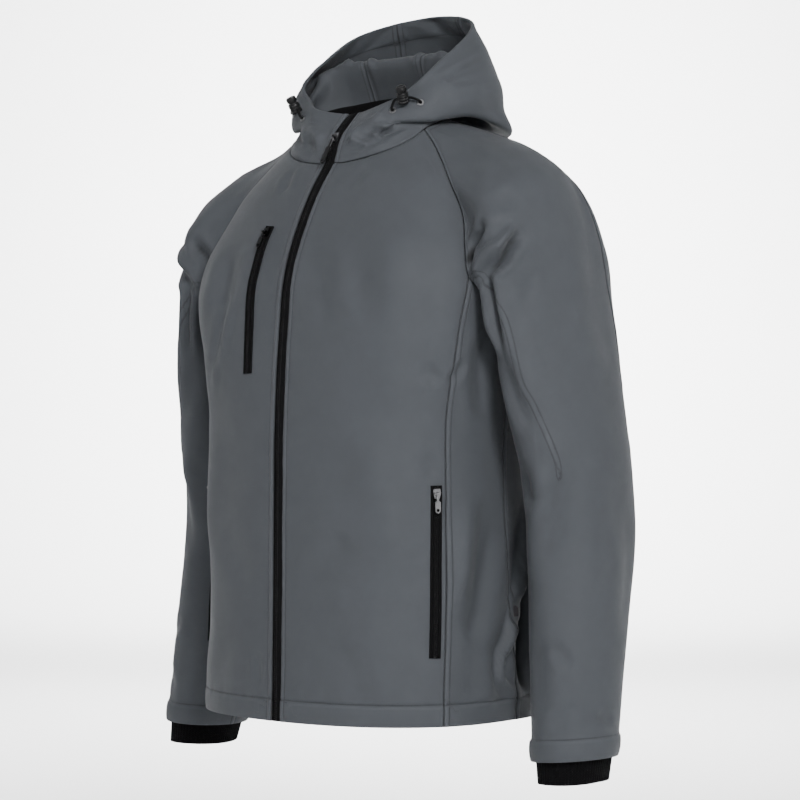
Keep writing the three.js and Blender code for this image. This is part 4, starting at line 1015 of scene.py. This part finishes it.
def make_panel(name, node, grid, side, edges, surface, inside="lining", swell=HEM_SWELL, black_rows=0):
    """A cloth wall on a grid. edges says what each side is: plain, stitched, hem or brim."""
    flip = side >= 0
    normals = grid_normals(grid, flip)
    shape = grid.shape[:2]
    distances = edge_distances(grid)
    lift, fold = (values.reshape(shape) for values in crease_form(grid.reshape(-1, 3), surface))
    stitch, seam, along = np.full(shape, FAR), np.full(shape, FAR), np.zeros(shape)
    brim = None
    for edge, kind in edges.items():
        run = distances["first"] if edge in ("bottom", "top") else distances["bottom"]
        away = distances[edge]
        if kind == "brim":
            brim = away - FACING, run
            lift += BRIM_RISE * bell(away, ROLL_WIDTH) - TIP_DROP * bell(away, TIP_WIDTH)
        elif kind == "hem":
            lift += hem_relief(away, swell) + HEM_WAVER * waver(run) * bell(away - HEM_BAND, 6)
            stitch, along = closer_row(stitch, along, away - HEM_BAND, run)
        else:
            lift += seam_relief(away, kind == "stitched") + SEAM_WAVER * waver(run) * bell(away, 8)
            seam = np.minimum(seam, away)
            if kind == "stitched":
                stitch, along = closer_row(stitch, along, away - STITCH_AT, run)
    if surface == "sleeve":
        line = surface_line("sleeve", side, ELBOW_SEAM, 40)
        away, share = (values.reshape(shape) for values in near_line(grid.reshape(-1, 3), line))
        stitch, along = closer_row(stitch, along, away - ELBOW_SEAM_HALF, share * lengths_along(line)[-1])
        lift += ELBOW_SEAM_RISE * bell(away, 3.4)
    outer = grid + normals * lift[..., None]
    inner = grid + normals * (np.minimum(lift, lift * 0.9) - CLOTH)[..., None]
    inside_stitch, inside_along = stitch, along
    if brim:
        past_facing, run = brim
        inner -= normals * facing_relief(past_facing, run)[..., None]
        inside_stitch, inside_along = closer_row(past_facing, run, stitch, along)
    marks = {
        "stitch_away": (stitch, inside_stitch),
        "stitch_along": (along, inside_along),
        "seam_away": (seam, seam),
        "fold_painted_shade": (fold, 0 * fold),
    }
    uv = np.stack([distances["first"], distances["bottom"]], -1) * MM
    panel = wall(name, node, outer, inner, flip, ["cloth", inside, "lining"], marks, uv, black_rows)


def facing_relief(past, run):
    """How far the gathered facing stands into the hood, past being the distance beyond its stitches."""
    away = past + FACING
    facing = 1 - smooth((past + 2) / 4)
    pucker = waver(run * 0.36 + 0.3 * past) * (1 - smooth((np.abs(past + 10) - 8) / 6))
    roll = INSIDE_ROLL * (bell(away, ROLL_WIDTH) - bell(away, TIP_WIDTH))
    return PUCKER * facing * (pucker + 0.5) + roll - FACING_DIP * bell(past, 1.6)


def grid_faces(index):
    return np.stack([index[:-1, :-1], index[1:, :-1], index[1:, 1:], index[:-1, 1:]], -1).reshape(-1, 4)


def rim_faces(line, count, turned):
    """Faces from one edge of the outer grid to that of the inner one, whose points follow count later."""
    face = np.stack([line[:-1], line[1:], line[1:] + count, line[:-1] + count], -1)
    return face[:, ::-1] if turned else face


def ring_faces(rings, sides, start=0, capped=True):
    """Faces of a stack of closed rings of points, the first point being number start."""
    faces = []
    for low in range(start, start + (rings - 1) * sides, sides):
        for i in range(sides):
            n = (i + 1) % sides
            faces.append((low + i, low + n, low + sides + n, low + sides + i))
    if capped:
        faces.append(tuple(start + i for i in range(sides - 1, -1, -1)))
        faces.append(tuple(start + (rings - 1) * sides + i for i in range(sides)))
    return faces


def lay_uv(mesh, flat):
    """Gives each point's own place on the flat cloth, in metres."""
    loops = np.empty(len(mesh.loops), np.int32)
    mesh.loops.foreach_get("vertex_index", loops)
    mesh.uv_layers.new(name="cloth").data.foreach_set("uv", flat[loops].astype(np.float32).reshape(-1))


def wall(name, node, outer, inner, flip, looks, marks, uv, black_rows=0):
    """A closed wall between two grids of points; its inside has its own material."""
    rows, cols = outer.shape[:2]
    count = rows * cols
    index = np.arange(count).reshape(rows, cols)
    shown = grid_faces(index)
    edges = ((index[0], False), (index[-1], True), (index[:, 0], True), (index[:, -1], False))
    rim = [rim_faces(line, count, turned) for line, turned in edges]
    faces = np.concatenate([shown, shown[:, ::-1] + count, *rim])
    if flip:
        faces = faces[:, ::-1]
    look = np.zeros(len(faces), np.int32)
    look[len(shown) : 2 * len(shown)] = 1
    look[len(shown) : len(shown) + black_rows * (cols - 1)] = 2
    points = np.concatenate([outer.reshape(-1, 3), inner.reshape(-1, 3)])
    obj = mesh_piece(name, points, faces, looks, look)
    for key, (front_values, back_values) in marks.items():
        layer = obj.data.attributes.new(key, "FLOAT", "POINT")
        values = np.concatenate([front_values.reshape(-1), back_values.reshape(-1)])
        layer.data.foreach_set("value", values.astype(np.float32))
    lay_uv(obj.data, np.tile(uv.reshape(-1, 2), (2, 1)))
    ride(obj, node)
    return obj


def mesh_piece(name, points, faces, looks, look=None):
    """A smooth mesh in the scene, from points in millimetres."""
    mesh = bpy.data.meshes.new(name)
    mesh.from_pydata((np.asarray(points) * MM).tolist(), [], [tuple(map(int, f)) for f in faces])
    for word in looks:
        mesh.materials.append(MATERIALS[word])
    if look is not None:
        mesh.polygons.foreach_set("material_index", look)
    mesh.polygons.foreach_set("use_smooth", np.ones(len(mesh.polygons), bool))
    mesh.update()
    obj = bpy.data.objects.new(name, mesh)
    bpy.context.collection.objects.link(obj)
    return obj


def ride(obj, node):
    """Fixes a piece to the jacket and hides the nodes that it replaces."""
    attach(obj, "jacket")
    if node:
        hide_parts(*([node] if isinstance(node, str) else node))


# Zips: woven tape on the cloth, with a coil of small teeth along its middle
TAPE_THICK = 0.9
COIL_PITCH = 2.4
COIL_HEIGHT = 1.5
TOOTH_SIDES = 8
# Shares of the zip's width: a tooth's middle and half its length; its half breadth is a share of the pitch
TOOTH_MIDDLE = 0.24
TOOTH_HALF = 0.27
TOOTH_BREADTH = 0.24
TOOTH_SLANT = 0.35
# Place along the tooth and its thickness there
TOOTH_STATIONS = [(-1.0, 0.35), (-0.82, 0.85), (0.0, 1.0), (0.82, 0.85), (1.0, 0.35)]


def strip_frame(line, outs):
    """The ways along, across and out of a strip at each of its points."""
    along = np.gradient(line, axis=0)
    along /= np.linalg.norm(along, axis=1, keepdims=True)
    outs = outs - (outs * along).sum(1, keepdims=True) * along
    outs /= np.linalg.norm(outs, axis=1, keepdims=True)
    return along, np.cross(along, outs), outs


def whole_profile(half):
    """A profile from its first half, whose last point may lie on the middle."""
    return half + [(-x, height) for x, height in reversed(half) if x]


def tape_strip(name, node, line, outs, profile):
    """A closed strip along a line; profile gives place across and height, in millimetres."""
    _, across_way, out = strip_frame(line, outs)
    places = np.array(profile, float)
    flat = line[:, None] + across_way[:, None] * places[:, 0][None, :, None]
    top = flat + out[:, None] * places[:, 1][None, :, None]
    uv = np.stack(np.meshgrid(places[:, 0], lengths_along(line)), -1) * MM
    wall(name, node, top, flat - out[:, None] * TAPE_THICK, False, ["zip_tape"] * 3, {}, uv)


def coil_teeth(name, line, outs, width, lift):
    """Two rows of small rounded teeth that meet in the middle, as one mesh."""
    lengths = lengths_along(line)
    frames = (line, *strip_frame(line, outs))
    turns = [2 * math.pi * i / TOOTH_SIDES for i in range(TOOTH_SIDES)]
    points, faces = [], []
    for k in range(int(lengths[-1] / COIL_PITCH)):
        for half in (-1, 1):
            at = (k + (0.25 if half < 0 else 0.75)) * COIL_PITCH
            p, t, a, o = (read_line(at, lengths, rows) for rows in frames)
            centre = p + a * half * width * TOOTH_MIDDLE + o * lift
            faces += ring_faces(len(TOOTH_STATIONS), TOOTH_SIDES, len(points))
            for place, size in TOOTH_STATIONS:
                spine = centre + a * place * width * TOOTH_HALF
                for turn in turns:
                    slant = math.cos(turn) * size * COIL_PITCH * TOOTH_BREADTH + place * half * TOOTH_SLANT
                    points.append(spine + t * slant + o * math.sin(turn) * size * COIL_HEIGHT / 2)
    ride(mesh_piece(name, points, faces, ["zip_coil"]), None)


def on_front(share, z, side):
    """Points on a front panel, a share of the way from the zip to the side seam."""
    points = []
    for height in z:
        ends = [zip_edge(height), (front_side_angle(height), height)]
        if height > ARMHOLE_Z:
            t = (height - ARMHOLE_Z) / (FRONT_NECK_Z - ARMHOLE_Z)
            # The row that passes this height here, closer at each step
            for _ in range(6):
                angle, high = front_raglan(t)
                here = lerp(lerp(ARMHOLE_Z, FRONT_NECK_Z, t), high, front_bend(share))
                t += (height - here) / (FRONT_NECK_Z - ARMHOLE_Z)
            ends = [zip_edge(lerp(ARMHOLE_Z, FRONT_NECK_Z, t)), (float(angle), float(high))]
        points.append(torso(*torso_row(*ends, [share], front_bend))[0])
    points = np.array(points)
    return points * MIRROR if side < 0 else points


def torso_out(points):
    """The way out of the torso at points on it."""
    step, rise = 0.4, 2
    z = points[:, 2]
    mirror = np.stack([np.sign(points[:, 0]), 0 * z + 1, 0 * z + 1], -1)
    angle = torso_angle(np.abs(points[:, 0]), z)
    turned = (torso(angle + step, z) - torso(angle - step, z)) * mirror
    raised = (torso(angle, z + rise) - torso(angle, z - rise)) * mirror
    out = np.cross(turned, raised)
    out /= np.linalg.norm(out, axis=1, keepdims=True)
    away = points * np.array([1, 1, 0])
    return out * np.sign((out * away).sum(1))[:, None]


# Half of each zip's section: place across and height
POCKET_HALF = [
    (-6.7, -0.2), (-6.6, 1.1), (-6.0, 1.5), (-4.6, 1.5), (-4.2, 0.9), (-2.9, 0.9), (-2.6, 1.3), (0, 1.4),
]
MAIN_HALF = [
    (-11, -2.1), (-7.3, -2.1), (-6.8, -0.9), (-6.4, -0.3), (-4.4, -0.3), (-4.0, 0.5), (-3.4, 0.8),
    (-0.6, 0.8), (-0.25, 0.1),
]


def pocket_zip(name, node, share, low, high, side, count):
    """A zip that lies on a front panel's creased cloth."""
    base = on_front(share, np.linspace(low, high, count), side)
    outs = torso_out(base)
    line = base + outs * (crease_form(base, "torso")[0] + 0.4)[:, None]
    tape_strip(f"{name}_tape", node, line, outs, whole_profile(POCKET_HALF))
    coil_teeth(f"{name}_coil", line, outs, 4.6, 1.5)


def main_zip():
    """The zip from the hem up the front edge of the hood, and the wire of its pull."""
    front_edge = front_grid(STEP)[:, 0]
    collar = hood_all[1:, 0]
    keep = hood_vs[1:] < 0.995
    line = np.concatenate([front_edge, collar[keep]]) * np.array([0, 1, 1])
    gaps = np.concatenate([[1], np.linalg.norm(np.diff(line, axis=0), axis=1)])
    line = line[gaps > 0.5]
    way = np.gradient(line, axis=0)
    outs = np.stack([0 * way[:, 0], -way[:, 2], way[:, 1]], -1)
    outs /= np.linalg.norm(outs, axis=1, keepdims=True)
    tape_strip("main_zip_tape", "zip_main", line, outs, whole_profile(MAIN_HALF))
    coil_teeth("main_zip_coil", line, outs, 5.6, 0.6)
    pull_wire(line, outs)


# The main pull's wire: its loop stands over the neck of the pull and goes down into the grip
MAIN_PIN = np.array([0, -67.61, -18.06])
WIRE_RADIUS = 0.45
# Across, up and out of the pull, from its pin
WIRE_ROUTE = [
    (1.75, -16.5, 0), (1.75, -10, 0), (1.7, -5.6, 0.2), (1.25, -3.6, 0.9), (0, -2.7, 1.3),
    (-1.25, -3.6, 0.9), (-1.7, -5.6, 0.2), (-1.75, -10, 0), (-1.75, -16.5, 0),
]


def pull_wire(line, outs):
    place = int(np.argmin(np.abs(line[:, 2] + 21)))
    along, across_way, out = (rows[place] for rows in strip_frame(line, outs))
    route = [MAIN_PIN + across_way * x + along * y + out * z for x, y, z in WIRE_ROUTE]
    wire = tube("main_pull_wire", smooth_route(route, 60), WIRE_RADIUS, 10, "slider_metal")
    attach(wire, "main_pull")


# Rib cuffs: a knitted tube that starts inside the sleeve's end and shows below it
RIB_COLUMNS = 420
RIB_COUNT = 70
RIB_DEPTH = 0.55
RIB_LENGTH = 26
RIB_WALL = 1.8
# Share of the cuff's length, share of the sleeve's, distance below the sleeve, distance inside it
RIB_RINGS = np.array([
    (0, 0.955, 0, 3.0),
    (0.35, 0.985, 0, 4.2),
    (0.5, 1.0, 6, 6.2),
    (1, 1.0, RIB_LENGTH, 8.5),
])
# The share of its length from which the cuff's edge thins
RIB_EDGE = 0.96


def rib_cuff(side):
    """A ribbed cuff, on rings evenly spaced round the end of the sleeve."""
    turn = np.linspace(0, 360, RIB_COLUMNS, endpoint=False)
    row = sleeve(turn, np.ones_like(turn))
    lengths = lengths_along(np.concatenate([row, row[:1]]))
    even = np.interp(np.linspace(0, lengths[-1], RIB_COLUMNS + 1), lengths, np.append(turn, 360))
    centre = lambda s: sleeve(turn, np.full_like(turn, s)).mean(0)
    along = unit(centre(1.0) - centre(0.9))
    ribs = RIB_DEPTH * np.abs(np.sin(np.pi * RIB_COUNT * np.arange(RIB_COLUMNS + 1) / RIB_COLUMNS))
    sag = 0.8 * np.sin(even / 57 + 1) + 0.5 * np.sin(even / 23)
    outer, inner = [], []
    for t in [*np.linspace(0, RIB_EDGE, 18), 0.975, 0.99, 1.0]:
        s, below, inset = read_line(t, RIB_RINGS[:, 0], RIB_RINGS[:, 1:])
        ring = sleeve(even, np.full_like(even, s))
        out = ring - ring[:-1].mean(0)
        out /= np.linalg.norm(out, axis=1, keepdims=True)
        thinned = 1 - 0.8 * smooth((t - RIB_EDGE) / (1 - RIB_EDGE))
        here = ring + along * (below + sag * t)[:, None]
        outer.append(here + out * ((ribs - RIB_DEPTH) * thinned - inset)[:, None])
        inner.append(here + out * (-inset - RIB_WALL))
    outer, inner = np.array(outer), np.array(inner)
    if side < 0:
        outer, inner = outer * MIRROR, inner * MIRROR
    closed_tube(f"rib_cuff_knit_{WORDS[side]}", f"rib_cuff_{WORDS[side]}", outer, inner, side > 0)


def closed_tube(name, node, outer, inner, flip):
    """A tube wall between two grids whose last column is their first again."""
    rows, cols = outer.shape[0], outer.shape[1] - 1
    count = rows * cols
    index = np.arange(count).reshape(rows, cols)
    index = np.concatenate([index, index[:, :1]], 1)
    shown = grid_faces(index)
    ends = [rim_faces(index[0], count, False), rim_faces(index[-1], count, True)]
    faces = np.concatenate([shown, shown[:, ::-1] + count, *ends])
    if flip:
        faces = faces[:, ::-1]
    points = np.concatenate([outer[:, :-1].reshape(-1, 3), inner[:, :-1].reshape(-1, 3)])
    obj = mesh_piece(name, points, faces, ["rib"])
    girth = lengths_along(outer[-1])[-1]
    u, v = np.meshgrid(np.arange(cols) / cols * girth, np.arange(rows) / rows * RIB_LENGTH)
    lay_uv(obj.data, np.tile(np.stack([u, v], -1).reshape(-1, 2) * MM, (2, 1)))
    ride(obj, node)


# Brim cords: out of one eyelet, across through a toggle, into the other. Places on the hood are
# shares of the way round and of the way up; the toggle leans up from the way out of the hood
EYELET_PLACES = [(0.27, 0.8), (0.4, 0.84)]
TOGGLE_PLACE = (0.33, 0.86)
TOGGLE_UPRIGHT = 1.2
TOGGLE_LIFT = 3.5
TOGGLE_RADIUS = 7
TOGGLE_HEIGHT = 13
# The share of the barrel's height at which the cord goes through it
TOGGLE_BORE = 0.4
CORD_RADIUS = 1.5
CORD_CLEAR = 2.5
# Radius and height of the toggle's outline, and how deep its ribs are there
TOGGLE_OUTLINE = [
    (0.2, 0, 0), (5.4, 0, 0), (6.5, 0.4, 0), (7.0, 1.2, 0), (7.0, 3.0, 0), (6.5, 3.4, 0), (6.5, 3.9, 0),
    (7.0, 4.3, 0), (7.0, 6.6, 0), (6.5, 7.0, 0), (6.5, 7.5, 0), (7.0, 7.9, 0), (7.0, 10.2, 0),
    (6.5, 10.6, 0), (6.5, 11.0, 0), (7.0, 11.4, 0), (6.9, 12.4, 0), (6.2, 13.0, 0), (5.0, 13.0, 0),
    (5.0, 14.5, 0), (5.8, 14.5, 0.2), (6.2, 15.0, 0.5), (6.2, 19.6, 0.5), (5.8, 20.4, 0.3),
    (4.6, 21.0, 0), (3.0, 21.0, 0), (2.6, 20.6, 0), (0.2, 20.6, 0),
]
TOGGLE_SIDES = 72
TOGGLE_RIBS = 18


def on_hood(w, v):
    """A point on the hood and the way out of it there."""
    step = 0.01
    at = lambda a, b: hood(np.array([a]), np.array([b]))[0]
    dw = at(w + step, v) - at(w - step, v)
    dv = at(w, v + step) - at(w, v - step)
    return at(w, v), unit(np.cross(dw, dv))


def smooth_route(points, count):
    """A smooth line through points, with its bends eased by the distances between them."""
    points = np.array(points)
    knots = np.concatenate([[0], np.cumsum(np.diff(lengths_along(points)) ** 0.5)])
    return spline(knots, points, np.linspace(0, knots[-1], count))


def toggle(side, foot, line, cord_way):
    """A barrel with a ribbed button on top, turned about a line from its foot."""
    turn = np.linspace(0, 2 * np.pi, TOGGLE_SIDES, endpoint=False)
    x = unit(cord_way)
    y = np.cross(line, x)
    points = []
    for radius, height, rib in TOGGLE_OUTLINE:
        r = radius - rib * np.abs(np.sin(TOGGLE_RIBS / 2 * turn))
        round_it = x * (r * np.cos(turn))[:, None] + y * (r * np.sin(turn))[:, None]
        points.append(foot + line * height + round_it)
    faces = ring_faces(len(TOGGLE_OUTLINE), TOGGLE_SIDES)
    points = np.concatenate(points)
    if side < 0:
        points = points * MIRROR
        faces = [face[::-1] for face in faces]
    obj = mesh_piece(f"cord_toggle_{WORDS[side]}", points, faces, ["plastic"])
    for polygon in obj.data.polygons:
        polygon.use_smooth = len(polygon.vertices) == 4
    ride(obj, f"toggle_{WORDS[side]}")
    return obj


def brim_cord(side):
    """A cord from eyelet to eyelet, with the toggle that it runs through."""
    (a, a_out), (b, b_out) = (on_hood(*place) for place in EYELET_PLACES)
    foot, foot_out = on_hood(*TOGGLE_PLACE)
    line = unit(foot_out + np.array([0, 0, TOGGLE_UPRIGHT]))
    base = foot + foot_out * TOGGLE_LIFT
    up = np.cross(line, b - a)
    up = unit(up - (up @ line) * line)
    bore_way = np.cross(up, line)
    if bore_way @ (b - a) < 0:
        bore_way = -bore_way
    centre = base + line * TOGGLE_HEIGHT * TOGGLE_BORE
    mouth, inside = TOGGLE_RADIUS + CORD_CLEAR, TOGGLE_RADIUS * 0.6
    through = [centre + bore_way * at for at in (-mouth, -inside, 0, inside, mouth)]
    route = smooth_route([a + a_out * 0.6, a + a_out * 4, *through, b + b_out * 4, b + b_out * 0.6], 60)
    barrel = toggle(side, base, line, bore_way)
    if side < 0:
        route = route * MIRROR
    cord = tube(f"brim_cord_{WORDS[side]}", route, CORD_RADIUS, 16, "cord")
    ride(cord, f"cord_{WORDS[side]}")


def tube(name, line, radius, sides, look):
    """A round rod along a line, its rings carried on without a twist."""
    way = np.gradient(line, axis=0)
    way /= np.linalg.norm(way, axis=1, keepdims=True)
    across_way = [unit(np.cross(way[0], [0.3, 0.2, 0.9]))]
    for ahead in way[1:]:
        last = across_way[-1]
        across_way.append(unit(last - (last @ ahead) * ahead))
    across_way = np.array(across_way)
    third = np.cross(way, across_way)
    turn = np.linspace(0, 2 * np.pi, sides, endpoint=False)
    rings = line[:, None] + radius * (
        across_way[:, None] * np.cos(turn)[None, :, None] + third[:, None] * np.sin(turn)[None, :, None]
    )
    obj = mesh_piece(name, rings.reshape(-1, 3), ring_faces(len(line), sides), [look])
    u, v = np.meshgrid(turn * radius, lengths_along(line))
    lay_uv(obj.data, np.stack([u, v], -1).reshape(-1, 2) * MM)
    return obj


# The pieces
STEP = 5.0
WORDS = {1: "left", -1: "right"}
BODY_EDGES = {"bottom": "hem", "top": "plain", "first": "stitched", "last": "plain"}
BACK_EDGES = {"bottom": "hem", "top": "plain", "first": "stitched", "last": "stitched"}
SLEEVE_EDGES = {"bottom": "stitched", "top": "hem", "first": "plain", "last": "stitched"}
HOOD_EDGES = {"bottom": "plain", "top": "brim", "first": "stitched", "last": "stitched"}
# Share of the way from the main zip to the side seam, lower and upper end
POCKET_ZIP = (0.94, -622, -427)
CHEST_ZIP = (1.75 / 8, -299, -126)
# How far up the hood its inside is lined in black
NECK_LINING_V = 0.1
hood_all, hood_seam, hood_vs = hood_grid(STEP)
hood_side = hood_all[:, : hood_seam + 1]
hood_middle = hood_all[:, hood_seam : hood_all.shape[1] - hood_seam]
CUFF_EXTRAS = {"swell": CUFF_SWELL}
HOOD_EXTRAS = {"inside": "hood_inside", "black_rows": int(np.searchsorted(hood_vs, NECK_LINING_V))}
# Pieces that come in pairs: name, node, left grid, edges, surface, further settings
PAIRED = [
    ("front_panel", "front", front_grid(STEP), BODY_EDGES, "torso", {}),
    ("side_panel", "side", side_grid(STEP), BODY_EDGES, "torso", {}),
    ("sleeve_front_panel", "sleeve_front", sleeve_grid(STEP, False), SLEEVE_EDGES, "sleeve", CUFF_EXTRAS),
    ("sleeve_back_panel", "sleeve_back", sleeve_grid(STEP, True), SLEEVE_EDGES, "sleeve", CUFF_EXTRAS),
    ("hood_side_panel", "hood_side", hood_side, HOOD_EDGES, "hood", HOOD_EXTRAS),
]
for side, word in WORDS.items():
    turned = MIRROR if side < 0 else np.ones(3)
    for name, node, grid, edges, surface, extras in PAIRED:
        make_panel(f"{name}_{word}", f"{node}_{word}", grid * turned, side, edges, surface, **extras)
    rib_cuff(side)
    brim_cord(side)
    pocket_zip(f"pocket_zip_{word}", f"zip_pocket_{word}", *POCKET_ZIP, side, 60)
make_panel("back_panel", "back", back_grid(STEP), 0, BACK_EDGES, "torso")
make_panel("hood_centre_panel", "hood_centre", hood_middle, 0, HOOD_EDGES, "hood", **HOOD_EXTRAS)
pocket_zip("chest_zip", "zip_chest", *CHEST_ZIP, -1, 54)
main_zip()

# Camera at the photograph's place: level, 40 degrees round to the wearer's left, 3.2 m away
AZIMUTH = math.radians(40)
DISTANCE = 3.2
VIEW_WIDTH = 0.96
SENSOR = 36
aim = Vector((0.0348 * math.cos(AZIMUTH), 0.0348 * math.sin(AZIMUTH), -0.33))
camera = bpy.data.objects.new("camera", bpy.data.cameras.new("camera"))
bpy.context.collection.objects.link(camera)
camera.data.sensor_width = SENSOR
camera.data.lens = SENSOR * DISTANCE / VIEW_WIDTH
camera.location = aim + DISTANCE * Vector((math.sin(AZIMUTH), -math.cos(AZIMUTH), 0))
camera.rotation_euler = (math.pi / 2, 0, AZIMUTH)
bpy.context.scene.camera = camera


# The studio: where the floor lies and how the ring between floor and wall bends
FLOOR_Z = -1.0
FLOOR_RADIUS = 5.0
BEND_RADIUS = 2.0
STUDIO_SIDES = 64


def studio():
    """A pale round floor that rises to a wall, open above."""
    bend = [
        (FLOOR_RADIUS + BEND_RADIUS * math.sin(a), FLOOR_Z + BEND_RADIUS * (1 - math.cos(a)))
        for a in np.linspace(0.1, math.pi / 2, 12)
    ]
    rings = [(0.0005, FLOOR_Z), (FLOOR_RADIUS, FLOOR_Z), *bend, (FLOOR_RADIUS + BEND_RADIUS, 5.0)]
    turn = np.linspace(0, 2 * np.pi, STUDIO_SIDES, endpoint=False)
    points = [(r * math.cos(a) / MM, r * math.sin(a) / MM, z / MM) for r, z in rings for a in turn]
    faces = ring_faces(len(rings), STUDIO_SIDES, capped=False)
    mesh_piece("studio", points, faces, ["backdrop"])


def area_light(name, place, size, power, target=(0, 0, -0.3), spread=180):
    """A round lamp in metres and watts, aimed at a target, its spread in degrees."""
    data = bpy.data.lights.new(name, "AREA")
    data.shape = "DISK"
    data.size = size
    data.energy = power
    data.spread = math.radians(spread)
    obj = bpy.data.objects.new(name, data)
    bpy.context.collection.objects.link(obj)
    obj.location = place
    way = Vector(target) - Vector(place)
    obj.rotation_euler = way.to_track_quat("-Z", "Y").to_euler()


studio()
area_light("key", (3.6, -2.5, 1.8), 1.2, 310)
area_light("fill", (1.2, -4.2, 2.4), 1.8, 60)
area_light("wall", (-1.6, 2.3, 2.6), 1.6, 330, (-4.4, 5.4, -0.2), 85)
area_light("floor", (-1.2, 1.5, 2.4), 1.6, 130, (-1.7, 2.1, -1.0), 90)
sky = bpy.data.worlds.new("studio_sky")
bpy.context.scene.world = sky
sky.use_nodes = True
background = sky.node_tree.nodes["Background"].inputs
background["Color"].default_value = (0.95, 0.97, 1.0, 1)
background["Strength"].default_value = 0.45
